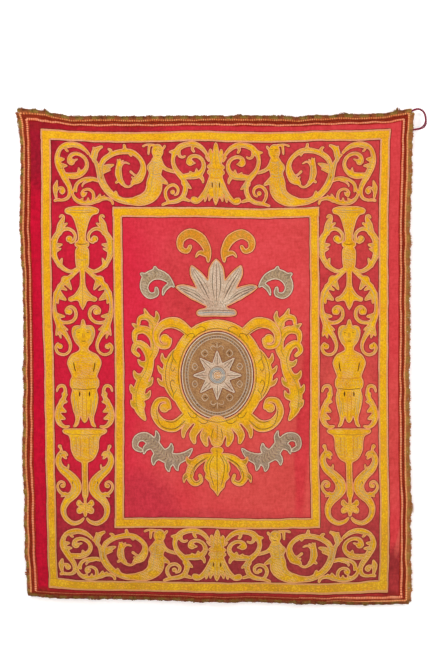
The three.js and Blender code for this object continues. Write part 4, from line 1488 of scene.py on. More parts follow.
# the wool fringe: thick matted wool with thousands of short strands over it
fringe = {
    "pitch": 1.25,
    "heading": 3.0,  # the strands start this far inside the edge
    "reach": {"top": 18, "bottom": 19, "left": 19, "right": 28},
    # the wool changes by turns from red-brown to olive: its period, and a red-brown middle
    "turns": {"top": (74.9, -868), "bottom": (74.2, -837), "left": (76.9, 88.6), "right": (76.8, 111)},
    "radius": 1.7,
    # the matted wool under the strands: place out from the edge, and radius
    "mat": [(0.22, 3.2), (0.48, 3.2), (0.72, 2.8)],
    "redStops": [
        (0.0, paint(120, 58, 34)),
        (0.25, paint(168, 90, 48)),
        (0.5, paint(196, 108, 60)),
        (0.75, paint(158, 84, 48)),
        (1.0, paint(216, 134, 80)),
    ],
    "oliveStops": [
        (0.0, paint(112, 90, 40)),
        (0.25, paint(168, 126, 52)),
        (0.5, paint(196, 148, 66)),
        (0.75, paint(150, 122, 54)),
        (1.0, paint(216, 166, 90)),
    ],
    # longer tufts: side, place along it, length and half width
    "tufts": [
        ("top", 905, 20, 12), ("top", -560, 7, 26), ("top", -852, 12, 16), ("top", -905, 7, 12),
        ("top", -700, 7, 24), ("top", -958, 9, 9), ("top", 120, 5, 22),
        ("top", -330, 5, 30), ("top", 330, 6, 40), ("top", 640, 7, 34), ("left", 60, 8, 30),
        ("right", 1540, 7, 14), ("right", 1972, 12, 16), ("right", 1990, 8, 8),
        ("left", 2330, 9, 22), ("bottom", -640, 7, 26), ("bottom", 420, 6, 30),
        ("bottom", 760, 6, 22), ("right", 620, 4, 30), ("left", 1260, 4, 34),
    ],
}
looks["fringe"] = fringeLook("red-brown wool fringe", fringe["redStops"])
looks["oliveFringe"] = fringeLook("olive wool fringe", fringe["oliveStops"])


# a place along one side and out from it, on the flat pattern
def beside(side, along, out):
    half, height = groundCloth["halfWidth"], groundCloth["height"]
    if side == "top":
        return along, -out
    if side == "bottom":
        return along, height + out
    return (out + half) * (-1 if side == "left" else 1), along


def makeFringe(side, settings, seed):
    draws = random.Random(seed)
    half, height = groundCloth["halfWidth"], groundCloth["height"]
    upright = side in ("left", "right")
    low = side == "bottom"
    first, last = (4, height + 6) if upright else (-half - (14 if low else 8), half + 8)
    reach = settings["reach"][side]
    tufts = [tuft[1:] for tuft in settings["tufts"] if tuft[0] == side]
    phase = draws.uniform(0, 9)

    def clumpAt(place):
        clump = 1 + 0.1 * math.sin(place / 19 + phase) * math.sin(place / 53)
        return clump + 0.07 * math.sin(place / 7 + 2 * phase)

    period, redMiddle = settings["turns"][side]
    wools = {True: [], False: []}

    def isRed(place, loose=0.0):
        return math.cos(2 * math.pi * (place - redMiddle) / period) > loose

    place = first
    while place < last:
        place += settings["pitch"] * draws.uniform(0.6, 1.4)
        long = reach * clumpAt(place) * draws.uniform(0.72, 1.04)
        for centre, more, wide in tufts:
            long += more * math.exp(-(((place - centre) / wide) ** 2)) * draws.uniform(0.5, 1.1)
        lean = draws.gauss(0, 2.4) + 3.0 * math.sin(place / 31 + phase)
        start = -settings["heading"] * draws.uniform(0.1, 1.0)
        bend = draws.gauss(0, 1.8)
        up = draws.uniform(-0.6, 3.2)
        thick = draws.uniform(0.75, 1.25)
        spots = [
            (place, start, 0.5 + up * 0.3, thick),
            (place + lean * 0.4 + bend, start + (long - start) * 0.6, 1.4 + up, thick),
            (place + lean, long, up * 0.8 - 1.4, thick * 0.45),
        ]
        strand = np.array([[*beside(side, a, out), z, w] for a, out, z, w in spots])
        wools[isRed(place, draws.uniform(-0.35, 0.35))].append((strand, False))
    for share, radius in settings["mat"]:
        start = first
        while start < last:
            turned = (start - redMiddle) / (period / 2) + 0.5
            end = min(redMiddle + (math.floor(turned + 0.02) + 0.5) * period / 2, last)
            end = max(end, start + 4)
            spots = []
            for along in np.arange(start, end + 5, 5.0):
                out = reach * share * clumpAt(along) + draws.gauss(0, 0.9)
                thick = radius / settings["radius"] * draws.uniform(0.8, 1.15)
                spots.append([*beside(side, along, out), draws.uniform(-1, 0.6), thick])
            if len(spots) > 2:
                wools[isRed((start + end) / 2)].append((np.array(spots), False))
            start = end
    radius = settings["radius"]
    parts = [
        cordMesh(f"fringe_{side}_{name}", wools[red], radius, rings=0, seed=seed)
        for name, red in (("red", True), ("olive", False))
    ]
    finishes = [looks["fringe"], looks["oliveFringe"]]
    finishPiece(f"fringe_{side}_wool", parts, finishes, [f"fringe_{side}"], "wool_fringe")


for k, side in enumerate(("top", "bottom", "left", "right")):
    makeFringe(side, fringe, 70 + k)
print("fringe hung")


# the ornament, in millimetres from each motif's own origin; places are x and down by turns
def pairs(numbers):
    return [numbers[i : i + 2] for i in range(0, len(numbers), 2)]


# cloth along a smooth line, with its width at each place
def stroke(path, width, **more):
    return {"path": pairs(path), "width": width, **more}


def disc(x, y, radius, tall=None):
    return {"disc": [x, y], "radius": radius, "tall": tall or radius}


# cloth whose outline has this right half
def rightHalf(*outline):
    return {"half": pairs(outline)}


# embroidered lines, each in the thread that it names
def stitch(thread, *spots, size=1.0):
    return {"line": pairs(spots), "in": thread, "size": size}


def stitchLoop(thread, radius, tall, size=1.0):
    return {"loop": [0, 0], "radius": radius, "tall": tall, "in": thread, "size": size}


def whip(thread, radius, tall, pitch, lean=4, size=1.0):
    return {"whip": [0, 0], "radius": radius, "tall": tall, "pitch": pitch, "long": 12, "lean": lean,
            "in": thread, "size": size}


def hatch(thread, *box, pitch, turn=0, size=1.0):
    return {"hatch": box, "pitch": pitch, "turn": turn, "in": thread, "size": size}


# the row, laid once more as its mirror image
def twin(row):
    return {**row, "twin": True}


cornerScroll = [
    stroke([10, 297, 50, 297, 77, 285, 87, 258, 82, 225, 58, 180, 34, 130, 24, 90, 38, 45, 68, 24,
        102, 18, 138, 27, 166, 48, 186, 72], [12, 15, 19, 22, 26, 33, 36, 26, 22, 28, 29, 26, 18, 12]),
    stroke([62, 172, 104, 176, 138, 168, 164, 144, 172, 115, 162, 88, 138, 69, 110, 65, 89, 80, 85, 104],
        [24, 34, 30, 23, 20, 19, 19, 20, 22, 26]),
    disc(94, 106, 18),
    stroke([96, 104, 112, 98, 126, 92], [20, 12, 9]),
    stroke([134, 168, 133, 148, 130, 134], [30, 16, 4]),
    stroke([150, 160, 143, 146], [18, 5]),
    stroke([28, 98, 46, 96, 62, 93], [34, 22, 7]),
    stroke([38, 130, 58, 126, 75, 127], [38, 20, 7]),
    stroke([92, 24, 70, 34, 66, 44, 78, 54], [24, 15, 12, 13]),
    stroke([20, 292, 15, 262, 16, 232, 24, 199], [10, 20, 28, 5]),
    stroke([17, 262, 28, 240, 48, 236, 59, 252, 48, 265], [12, 13, 14, 14, 12]),
    disc(46, 253, 13),
    stroke([34, 292, 12, 302], [12, 14]),
    stitch("dark", 34, 142, 46, 140, 58, 142),
    stitch("vein", 44, 32, 70, 36, 100, 30, 140, 38, 164, 56, size=1.2),
    stitch("pale", 96, 86, 82, 104, 92, 120, size=1.3),
    stitch("pale", 24, 230, 24, 260, 30, 282, size=1.3),
]

smallScroll = [
    stroke([232, 202, 208, 192, 176, 190, 145, 198, 122, 215, 114, 238, 120, 258], [16, 22, 20, 18, 18,
        20, 8]),
    stroke([98, 262, 112, 290, 138, 308, 172, 313, 204, 306, 236, 292, 268, 289, 292, 300, 298, 318],
        [12, 20, 24, 24, 24, 26, 18, 15, 13]),
    stroke([198, 306, 204, 280, 198, 256, 180, 243, 158, 246, 146, 262, 152, 280], [18, 17, 15, 14, 14,
        15, 13]),
    disc(158, 268, 12),
    stroke([160, 266, 172, 258], [12, 6]),
    stroke([188, 196, 164, 206, 148, 222, 150, 232], [20, 14, 10, 8]),
    stroke([226, 296, 236, 266], [32, 5]),
    stroke([246, 290, 258, 272], [16, 5]),
    stroke([176, 308, 176, 284], [22, 6]),
    stroke([140, 300, 154, 288], [18, 7]),
    stroke([118, 222, 108, 246, 98, 264], [16, 14, 12]),
    stroke([100, 262, 92, 240, 88, 228], [10, 12, 12]),
    stitch("slit", 136, 262, 146, 274, 150, 288, size=1.8),
    stitch("slit", 166, 248, 176, 258, 178, 272, size=1.6),
]

calyxStem = [
    stroke([184, 70, 200, 86, 217, 110, 232, 150, 241, 192, 262, 236, 298, 274, 346, 300, 396, 303], [12,
        14, 20, 32, 36, 36, 33, 31, 40]),
    stroke([206, 100, 207, 72, 212, 48, 232, 30], [16, 34, 33, 20]),
    disc(242, 26, 9),
    stroke([214, 44, 202, 30], [18, 11]),
    stroke([236, 132, 252, 94, 282, 69, 318, 53, 356, 46, 392, 50, 418, 66, 440, 90, 451, 120, 447, 155,
        428, 188, 400, 206], [20, 28, 27, 26, 30, 27, 24, 23, 26, 38, 46, 26]),
    stroke([360, 46, 358, 28, 356, 14], [26, 17, 15]),
    stroke([386, 52, 391, 74], [28, 9]),
    stroke([268, 82, 286, 58, 289, 42, 276, 36], [22, 18, 16, 13]),
    stroke([250, 140, 280, 124, 305, 115], [40, 26, 5]),
    stroke([252, 150, 288, 142], [30, 6]),
    stroke([314, 284, 312, 250], [36, 9]),
    stroke([404, 204, 392, 222, 374, 230, 352, 218, 336, 196, 327, 162, 328, 128, 330, 100], [22, 12, 12,
        18, 28, 36, 30, 22]),
    stroke([330, 108, 320, 86], [14, 7]),
    stroke([330, 104, 335, 84], [12, 7]),
    stroke([334, 106, 352, 92], [12, 9]),
    stroke([336, 136, 345, 112, 362, 103, 384, 112], [12, 13, 11, 7]),
    stroke([330, 196, 314, 208], [14, 14]),
    stroke([336, 194, 352, 204], [12, 12]),
    stroke([444, 176, 418, 174, 400, 162, 388, 150], [20, 14, 11, 15]),
    stroke([430, 192, 402, 186, 392, 176], [22, 13, 8]),
    stitch("pale", 214, 52, 204, 84, 214, 124, 224, 170, 236, 204, size=1.5),
    stitch("pale", 222, 56, 212, 88, 222, 128, 232, 172, size=1.2),
    stitch("pale", 252, 104, 244, 140, 250, 186, 266, 222, size=1.5),
    stitch("vein", 230, 128, 238, 160, 246, 196, size=1.2),
    stitch("vein", 328, 120, 324, 160, 334, 196, size=1.3),
    stitch("pale", 338, 118, 334, 158, 342, 190, size=1.3),
    stitch("pale", 300, 92, 330, 66, 372, 62, 408, 78, size=1.2),
    stitch("slit", 238, 178, 241, 190, size=1.6),
]

halfFigure = [
    disc(524, 48, 30, 38),
    stroke([492, 16, 482, 22, 480, 44, 478, 66], [12, 15, 13, 9]),
    stroke([506, 18, 470, 14, 450, 22], [16, 10, 13]),
    stroke([536, 34, 552, 36, 560, 22], [16, 12, 15]),
    stroke([522, 78, 520, 104, 517, 132, 514, 164, 511, 200, 506, 236, 490, 268, 456, 292, 412, 302],
        [40, 66, 70, 58, 74, 84, 76, 64, 48]),
    stroke([500, 104, 480, 128, 490, 156, 482, 190, 471, 214], [22, 23, 19, 21, 12]),
    stroke([540, 112, 562, 136, 590, 148, 616, 156], [26, 20, 19, 14]),
    stroke([536, 190, 574, 213], [40, 12]),
    stitch("dark", 506, 40, 514, 36, 522, 40),
    stitch("dark", 530, 40, 538, 36, 545, 40),
    stitch("dark", 510, 45, 518, 45, size=1.4),
    stitch("dark", 532, 45, 540, 45, size=1.4),
    stitch("vein", 525, 44, 523, 56, 528, 58),
    stitch("dark", 516, 67, 525, 70, 534, 67, size=1.2),
    stitch("pale", 500, 62, 497, 42, 506, 24, 524, 16, 542, 24, 550, 44),
    stitch("pale", 496, 96, 520, 106, 546, 98, size=1.3),
    stitch("pale", 490, 158, 514, 166, 540, 158, size=1.3),
    stitch("pale", 484, 172, 514, 180, 544, 172, size=1.3),
    hatch("pale", 486, 104, 552, 158, pitch=9, turn=38),
    hatch("vein", 486, 104, 552, 158, pitch=12, turn=-38),
    hatch("pale", 470, 180, 560, 262, pitch=10, turn=78),
]

innerScroll = [
    stroke([548, 320, 580, 308, 620, 301, 650, 282, 664, 244, 661, 206, 644, 178, 620, 150, 606, 120,
        602, 86, 614, 54, 640, 28, 674, 17, 710, 17, 743, 34, 766, 60, 782, 90], [14, 19, 24, 26, 26, 24,
        30, 26, 22, 21, 27, 32, 27, 28, 25, 19, 14]),
    stroke([614, 54, 582, 52], [36, 6]),
    stroke([652, 178, 690, 176, 726, 172, 752, 146, 757, 116, 741, 88, 711, 76, 686, 86, 680, 108], [24,
        35, 34, 25, 21, 19, 19, 22, 26]),
    disc(689, 109, 18),
    stroke([690, 112, 715, 112], [16, 9]),
    stroke([722, 170, 721, 138], [34, 4]),
    stroke([698, 168, 686, 152], [22, 6]),
    stroke([630, 42, 634, 72, 650, 83, 664, 76], [22, 17, 13, 12]),
    stroke([708, 20, 699, 40, 708, 55], [24, 15, 14]),
    stroke([732, 170, 750, 190, 754, 213], [26, 19, 8]),
    stroke([660, 210, 694, 240], [36, 6]),
    stroke([648, 286, 687, 301], [24, 13]),
    stroke([582, 306, 567, 282, 564, 252, 580, 227, 606, 220, 627, 238, 624, 264, 606, 272], [14, 17, 18,
        18, 17, 16, 14, 10]),
    disc(600, 256, 13),
    stitch("slit", 590, 242, 602, 236, 612, 246, 612, 260, size=1.6),
    stitch("slit", 690, 90, 702, 102, 700, 116, size=1.4),
    stitch("pale", 646, 190, 668, 188, 700, 186, 722, 182, size=1.3),
    stitch("vein", 662, 32, 690, 26, 716, 30, 742, 48, size=1.2),
]

palmette = [
    rightHalf(0, 6, 9, 16, 15, 44, 20, 62, 24, 44, 32, 40, 38, 56, 38, 84, 30, 112, 44, 124, 46, 134,
        34, 142, 46, 152, 44, 164, 34, 170, 40, 200, 40, 236, 30, 262, 26, 290, 18, 276, 12, 300,
        0, 322),
    twin(stroke([24, 190, 34, 224, 54, 262, 78, 290, 100, 306, 120, 298, 116, 284], [28, 34, 30, 26, 22,
        18, 14])),
    twin(disc(106, 294, 16)),
    twin(stroke([44, 250, 56, 306], [26, 9])),
    twin(stroke([30, 260, 34, 302], [22, 9])),
    twin(stroke([36, 100, 54, 78], [14, 8])),
    twin(stitch("slit", 18, 206, 18, 234, size=2.4)),
    twin(stitch("slit", 37, 254, 38, 270, size=2)),
    hatch("pale", -40, 138, 40, 178, pitch=7, size=1.3),
    stitch("gold", -34, 136, 0, 140, 34, 136, size=1.4),
    stitch("gold", -36, 182, 0, 186, 36, 182, size=1.4),
    stitch("vein", 0, 30, 0, 120),
    twin(stitch("pale", 12, 60, 18, 90, 22, 118, size=1.2)),
    stitch("vein", 0, 200, 0, 300),
    twin(stitch("pale", 8, 200, 10, 250, 6, 286)),
    twin(stitch("pale", 30, 206, 46, 246, 66, 274, size=1.2)),
]

vase = [
    rightHalf(0, -4, 50, -2, 84, 10, 80, 30, 56, 38, 40, 62, 28, 100, 20, 140, 22, 170, 34, 176, 36, 194,
        24, 202, 34, 216, 35, 262, 30, 300, 15, 318, 14, 384, 24, 416, 46, 446, 72, 460, 64, 476,
        40, 470, 23, 474, 14, 498, 0, 520),
    stitch("pale", -70, 12, 0, 16, 70, 12, size=1.3),
    stitch("vein", -62, 24, 0, 28, 62, 24, size=1.2),
    hatch("pale", -44, 40, 44, 166, pitch=9, turn=90, size=1.2),
    stitch("slit", -26, 184, 0, 187, 26, 184, size=1.2),
    hatch("vein", -30, 206, 30, 310, pitch=9, turn=90),
    stitch("pale", -26, 262, 0, 266, 26, 262, size=1.3),
    stitch("vein", 0, 330, 0, 500),
    twin(stitch("pale", 10, 420, 28, 444, 56, 464, size=1.2)),
]

upperScroll = [
    stroke([22, 312, 56, 325, 98, 305, 129, 264, 142, 215, 136, 166, 112, 126, 80, 108, 50, 116, 32, 142,
        38, 168, 56, 178], [24, 19, 24, 26, 36, 34, 26, 20, 17, 17, 18, 14]),
    disc(62, 160, 18),
    stroke([112, 128, 104, 88, 92, 58], [34, 34, 20]),
    stroke([92, 60, 90, 44, 102, 40, 110, 52], [18, 13, 12, 11]),
    stroke([98, 98, 70, 80], [22, 10]),
    stroke([134, 160, 112, 148], [34, 6]),
    stroke([138, 196, 96, 188], [40, 6]),
    stroke([136, 220, 102, 208], [30, 6]),
    stroke([112, 292, 98, 256], [30, 6]),
    stitch("slit", 48, 146, 58, 142, 66, 150, size=1.8),
    stitch("slit", 70, 168, 74, 156, 70, 146, size=1.2),
    stitch("pale", 104, 122, 98, 100, 96, 78, size=1.4),
]

lowerScroll = [
    stroke([18, 318, 58, 350, 102, 390, 132, 440, 140, 500, 136, 545, 122, 580, 110, 614, 84, 650,
        66, 694, 74, 730, 100, 746, 130, 736, 140, 708, 128, 690], [14, 24, 28, 26, 18, 28, 36, 36, 24,
        18, 14, 15, 16, 17, 16]),
    disc(118, 704, 15),
    stroke([84, 368, 54, 418], [46, 7]),
    stroke([112, 400, 76, 420], [30, 7]),
    stroke([122, 440, 80, 470], [50, 8]),
    stroke([130, 460, 120, 488], [32, 6]),
    stroke([126, 574, 92, 584, 56, 578, 34, 552, 38, 518, 60, 502, 82, 518, 80, 538], [22, 18, 18, 18,
        18, 17, 16, 12]),
    disc(66, 528, 17),
    stroke([130, 550, 88, 552], [36, 8]),
    stroke([120, 600, 136, 650], [30, 10]),
    stroke([108, 602, 74, 622], [30, 6]),
    stroke([118, 640, 112, 664], [20, 5]),
    stitch("slit", 112, 690, 124, 694, 130, 706, size=1.8),
    stitch("slit", 58, 514, 70, 512, 76, 524, size=1.8),
    stitch("pale", 104, 404, 128, 446, 134, 496, 128, 540, size=1.3),
]

bust = [
    rightHalf(0, 566, 8, 572, 16, 600, 30, 598, 50, 604, 58, 622, 56, 650, 42, 684, 26, 704, 24, 722,
        42, 734, 68, 748, 86, 784, 76, 822, 64, 856, 74, 876, 72, 908, 62, 922, 70, 966, 60, 1020,
        48, 1060, 50, 1090, 60, 1112, 40, 1104, 28, 1070, 22, 1056, 14, 1080, 0, 1092),
    twin(stitch("slit", 53, 784, 50, 806, 44, 832, size=2)),
    twin(stitch("slit", 24, 932, 25, 958, size=3)),
    stitch("vein", 0, 574, 0, 594),
    twin(stitch("vein", 13, 628, 22, 623, 31, 627, size=1.2)),
    twin(stitch("dark", 15, 636, 22, 633, 29, 636, size=1.3)),
    stitch("vein", 3, 634, 5, 655, 0, 659, -5, 655, -3, 634),
    stitch("dark", -12, 675, 0, 678, 12, 675, size=1.3),
    twin(stitch("pale", 8, 606, 30, 610, 44, 626, 44, 650, size=1.4)),
    twin(stitch("pale", 12, 612, 34, 618, 39, 640, 34, 664, 20, 690)),
    twin(stitch("pale", 48, 632, 46, 656, 36, 680, size=1.2)),
    hatch("pink", -46, 742, 46, 860, pitch=12, size=1.2),
    hatch("pale", -68, 768, -50, 850, pitch=10, turn=70),
    hatch("pale", 50, 768, 68, 850, pitch=10, turn=110),
    stitch("gold", -62, 862, 0, 868, 62, 862, size=1.6),
    hatch("pale", -66, 872, 66, 912, pitch=9, turn=90, size=1.3),
    stitch("dark", -62, 916, 0, 922, 62, 916, size=1.1),
    twin(stitch("pale", 54, 940, 50, 990, 42, 1050, size=1.5)),
    twin(stitch("pale", 44, 976, 38, 1020, 32, 1056, size=1.3)),
    twin(stitch("gold", 10, 930, 11, 1000, 8, 1070, size=1.3)),
    twin(stitch("vein", 34, 960, 30, 1010, 24, 1048)),
]

fern = [
    stroke([140, 934, 130, 908, 106, 904, 96, 926, 102, 962, 124, 1006, 136, 1050, 128, 1090, 102, 1112,
        78, 1108], [10, 16, 18, 18, 24, 30, 32, 26, 18, 12]),
    stroke([104, 946, 84, 950], [24, 6]),
    stroke([112, 984, 86, 984], [34, 6]),
    stroke([124, 1020, 92, 1036], [44, 6]),
    stroke([126, 1060, 96, 1072], [40, 6]),
]

goblet = [
    rightHalf(0, 1122, 106, 1124, 108, 1142, 84, 1154, 74, 1180, 72, 1220, 62, 1250, 44, 1276, 20, 1290,
        16, 1302, 16, 1400, 17, 1454, 9, 1474, 9, 1500, 22, 1494, 34, 1480, 46, 1490, 46, 1506, 32, 1516,
        46, 1526, 44, 1546, 28, 1548, 14, 1540, 8, 1560, 0, 1566),
    stitch("vein", -92, 1146, 0, 1152, 92, 1146, size=1.2),
    hatch("pale", -74, 1156, -12, 1262, pitch=8, turn=88, size=1.3),
    hatch("pale", 12, 1156, 74, 1262, pitch=8, turn=92, size=1.3),
    twin(stitch("gold", 22, 1158, 22, 1268, size=1.2)),
    twin(stitch("gold", 44, 1158, 42, 1240, size=1.2)),
    stitch("gold", -40, 1272, 0, 1282, 40, 1272, size=1.3),
    twin(stitch("vein", 5, 1300, 5, 1460)),
    stitch("vein", 0, 1500, 0, 1540),
    twin(stitch("dark", 12, 1506, 32, 1500)),
]

dolphin = [
    stroke([124, 1214, 118, 1232, 128, 1256, 134, 1286, 116, 1324, 78, 1358, 50, 1392, 46, 1424,
        62, 1452, 94, 1484, 114, 1524, 104, 1570, 66, 1598, 26, 1590, 8, 1572], [14, 14, 30, 32, 38, 46,
        54, 56, 48, 40, 32, 26, 24, 20, 12]),
    disc(126, 1210, 11),
    stroke([128, 1256, 104, 1244, 86, 1258], [24, 26, 8]),
    stroke([112, 1250, 94, 1272], [26, 12]),
    stroke([110, 1318, 86, 1322, 82, 1300], [22, 14, 6]),
    stroke([70, 1448, 104, 1456, 134, 1436, 142, 1408, 126, 1388, 106, 1396, 108, 1414], [20, 20, 16, 14,
        14, 13, 12]),
    disc(118, 1410, 12),
    stroke([104, 1450, 126, 1466], [22, 8]),
    stitch("slit", 62, 1386, 66, 1400, size=2),
    stitch("pale", 130, 1272, 122, 1312, 86, 1346, 52, 1384, size=1.3),
    stitch("pale", 66, 1386, 48, 1420, 64, 1446, 94, 1476, size=1.3),
    stitch("pale", 74, 1398, 62, 1424, 74, 1446, 104, 1478),
    stitch("slit", 112, 1404, 122, 1402, 126, 1412, size=1.5),
    stitch("pale", 108, 1530, 98, 1566, 66, 1588, size=1.2),
    stitch("dark", 120, 1244, 128, 1250, size=1.6),
]

ring = [
    {"ring": [0, 0], "radius": 216, "tall": 254, "width": 58},
    twin(stroke([136, -214, 200, -262, 266, -258, 306, -212, 298, -156, 254, -146, 238, -180], [44, 62,
        50, 38, 31, 28, 24])),
    twin(disc(264, -184, 26)),
    twin(stroke([160, 206, 218, 256, 282, 244, 320, 188, 304, 132, 258, 126, 244, 164], [44, 64, 52, 40,
        33, 28, 24])),
    twin(disc(270, 164, 26)),
    twin(stroke([216, -122, 246, -66, 256, 0, 246, 62, 216, 120], [24, 44, 58, 44, 24])),
    twin(stroke([248, -58, 276, -80, 280, -112], [40, 28, 8])),
    twin(stroke([256, -8, 288, -22, 304, -50], [42, 28, 8])),
    twin(stroke([252, 44, 286, 40, 306, 14], [40, 28, 8])),
    stroke([0, 262, 0, 330], [120, 70]),
    twin(stroke([44, 270, 66, 310, 54, 352], [52, 46, 24])),
    twin(stroke([90, 252, 122, 300, 116, 340], [50, 42, 22])),
    twin(stroke([134, 230, 168, 276, 172, 314], [40, 32, 16])),
    stitchLoop("dark", 199, 237),
    twin(stitch("dark", 142, -196, 200, -238, 250, -240, 284, -206, 280, -168, 258, -160)),
    twin(stitch("dark", 160, 228, 218, 272, 284, 256, 308, 190, 294, 148, 264, 142)),
    twin(stitch("dark", 170, 196, 220, 236, 268, 228, 292, 190)),
    twin(stitch("dark", 232, -110, 256, -60, 264, 0, 256, 58, 232, 108)),
    twin(stitch("dark", 222, -90, 238, -40, 226, -20, 216, -40)),
    twin(stitch("dark", 224, 92, 240, 44, 228, 22, 218, 40)),
    twin(stitch("dark", 100, 226, 76, 244, 52, 240, 48, 222, 64, 218)),
    twin(stitch("dark", 150, 184, 132, 212, 108, 214, 106, 196, 122, 194)),
    twin(stitch("dark", 110, -232, 84, -246, 60, -240, 58, -224, 72, -222)),
    twin(stitch("dark", 160, -180, 146, -206, 120, -212, 114, -198, 128, -192)),
    stitch("dark", 0, 250, 0, 330),
    twin(stitch("dark", 18, 268, 28, 300, 24, 330)),
    twin(stitch("vein", 50, 284, 62, 314, 56, 340, size=1.2)),
    twin(stitch("olive", 204, -150, 228, -100, 206, -60, size=1.4)),
    twin(stitch("olive", 206, 150, 226, 110, 206, 70, size=1.4)),
]

oval = [
    disc(0, 0, 182, 220),
    whip("dark", 178, 216, 10, size=1.3),
    stitchLoop("cream", 164, 202, size=1.8),
    stitchLoop("cream", 150, 188, size=1.8),
    whip("blue", 157, 195, 15, lean=9),
    whip("dark", 157, 195, 15, lean=-9),
    stitch("cream", 0, -170, 0, -134, size=1.4),
    twin(stitch("cream", 4, -140, 22, -150, 34, -138, 26, -128, size=1.5)),
    twin(stitch("dark", 4, -150, 16, -164, 30, -162)),
    stitch("cream", 0, 170, 0, 134, size=1.4),
    twin(stitch("cream", 4, 140, 22, 150, 34, 138, 26, 128, size=1.5)),
    twin(stitch("dark", 4, 150, 16, 164, 30, 162)),
    twin(stitch("cream", 44, -112, 62, -130, 80, -112, 62, -94, 44, -112, size=1.5)),
    twin(stitch("dark", 54, -112, 70, -112, size=1.4)),
    twin(stitch("dark", 62, -120, 62, -104, size=1.4)),
    twin(stitch("cream", 44, 112, 62, 130, 80, 112, 62, 94, 44, 112, size=1.5)),
    twin(stitch("dark", 54, 112, 70, 112, size=1.4)),
    twin(stitch("dark", 62, 120, 62, 104, size=1.4)),
    twin(stitch("cream", 98, -44, 114, -62, 128, -44, 114, -26, 98, -44, size=1.5)),
    twin(stitch("blue", 106, -44, 120, -44, size=1.4)),
    twin(stitch("cream", 98, 44, 114, 62, 128, 44, 114, 26, 98, 44, size=1.5)),
    twin(stitch("blue", 106, 44, 120, 44, size=1.4)),
]

rosette = [
    {"star": [0, 0], "points": 8, "radius": 126, "inner": 62},
    stitchLoop("dark", 44, 44),
    stitchLoop("blue", 37, 37, size=1.8),
    stitchLoop("blue", 30, 30, size=1.8),
    stitchLoop("dark", 22, 22),
    stitchLoop("gold", 14, 14, size=1.8),
    stitchLoop("gold", 7, 7, size=1.8),
    stitch("dark", 0, -48, 0, -112),
    stitch("dark", 0, 48, 0, 112),
    twin(stitch("dark", 48, 0, 112, 0)),
    twin(stitch("dark", 34, -34, 79, -79)),
    twin(stitch("dark", 34, 34, 79, 79)),
    twin(stitch("gray", 10, -60, 14, -76, 8, -92)),
    twin(stitch("gray", 10, 60, 14, 76, 8, 92)),
    twin(stitch("gray", 60, -10, 76, -14, 92, -8)),
    twin(stitch("gray", 60, 10, 76, 14, 92, 8)),
    twin(stitch("gray", 50, -36, 64, -44, 70, -58)),
    twin(stitch("gray", 36, -50, 44, -64, 58, -70)),
    twin(stitch("gray", 50, 36, 64, 44, 70, 58)),
    twin(stitch("gray", 36, 50, 44, 64, 58, 70)),
]

crest = [
    rightHalf(0, -300, 84, -300, 104, -314, 92, -332, 60, -338, 52, -356, 66, -368, 56, -384, 0, -386),
    stroke([0, -360, 0, -460, 0, -540, 0, -584], [50, 96, 78, 16]),
    twin(stroke([30, -366, 66, -450, 108, -516, 124, -552], [36, 78, 56, 14])),
    twin(stroke([48, -362, 112, -412, 174, -440, 204, -446], [30, 66, 44, 12])),
    stitch("dark", 0, -372, 0, -566),
    twin(stitch("gray", 10, -390, 22, -460, 16, -536, size=1.2)),
    twin(stitch("cream", 16, -386, 34, -452, 26, -516, size=1.3)),
    twin(stitch("dark", 38, -386, 70, -450, 112, -524)),
    twin(stitch("cream", 50, -384, 88, -446, 112, -494, size=1.3)),
    twin(stitch("dark", 56, -378, 114, -414, 186, -442)),
    twin(stitch("cream", 66, -382, 118, -424, 170, -446, size=1.3)),
    twin(stitch("gray", 64, -366, 116, -398, 166, -424, size=1.2)),
    hatch("gray", -56, -384, 56, -340, pitch=8, turn=90, size=1.1),
    stitch("dark", -92, -324, 0, -330, 92, -324),
    stitch("blue", -94, -314, 0, -320, 94, -314, size=1.5),
    stitch("cream", -86, -306, 0, -311, 86, -306, size=1.3),
    stitch("cream", -54, -336, 0, -341, 54, -336, size=1.4),
]

flame = [
    stroke([40, -576, 42, -628, 74, -690, 130, -718, 176, -690, 178, -644, 146, -628, 130, -652], [16,
        38, 52, 52, 42, 32, 26, 22], barbs=["olive", "vein", "gold"]),
    stroke([46, -612, 84, -620, 104, -596], [34, 24, 8], veins="olive"),
]

plume = [
    stroke([216, -448, 252, -492, 306, -512, 352, -488, 366, -440, 340, -404, 304, -412, 304, -440], [14,
        40, 56, 54, 42, 34, 28, 20], barbs=["gray", "pale", "dark", "pale"]),
    stroke([300, -510, 312, -552], [52, 10]),
    stroke([346, -494, 384, -516], [48, 10]),
    stroke([232, -462, 262, -436, 272, -404], [26, 24, 8]),
]

spray = [
    stroke([368, 224, 396, 172, 402, 106, 386, 40, 356, -18, 344, -84, 366, -140, 404, -160, 424, -126,
        400, -100], [18, 52, 66, 62, 52, 46, 44, 36, 28, 22]),
    stroke([392, 150, 424, 150, 440, 124], [54, 36, 8]),
    stroke([396, 84, 430, 76, 442, 46], [58, 38, 8]),
    stroke([372, 16, 410, 6, 426, -24], [54, 36, 8]),
    stroke([350, -56, 386, -58, 404, -82], [46, 30, 8]),
    stroke([386, 112, 354, 104, 342, 76], [46, 30, 8]),
    stroke([374, 50, 342, 40, 330, 8], [44, 28, 8]),
    stroke([344, -74, 318, -128, 322, -190, 364, -230, 412, -218, 418, -176], [34, 44, 48, 44, 34, 24]),
    stroke([322, -200, 318, -254, 346, -292, 388, -290, 396, -260], [40, 42, 34, 26, 20]),
    stroke([326, -256, 300, -292, 306, -326], [40, 28, 8]),
    stroke([352, -300, 366, -338], [36, 8]),
    stroke([394, -238, 430, -262], [40, 8]),
]

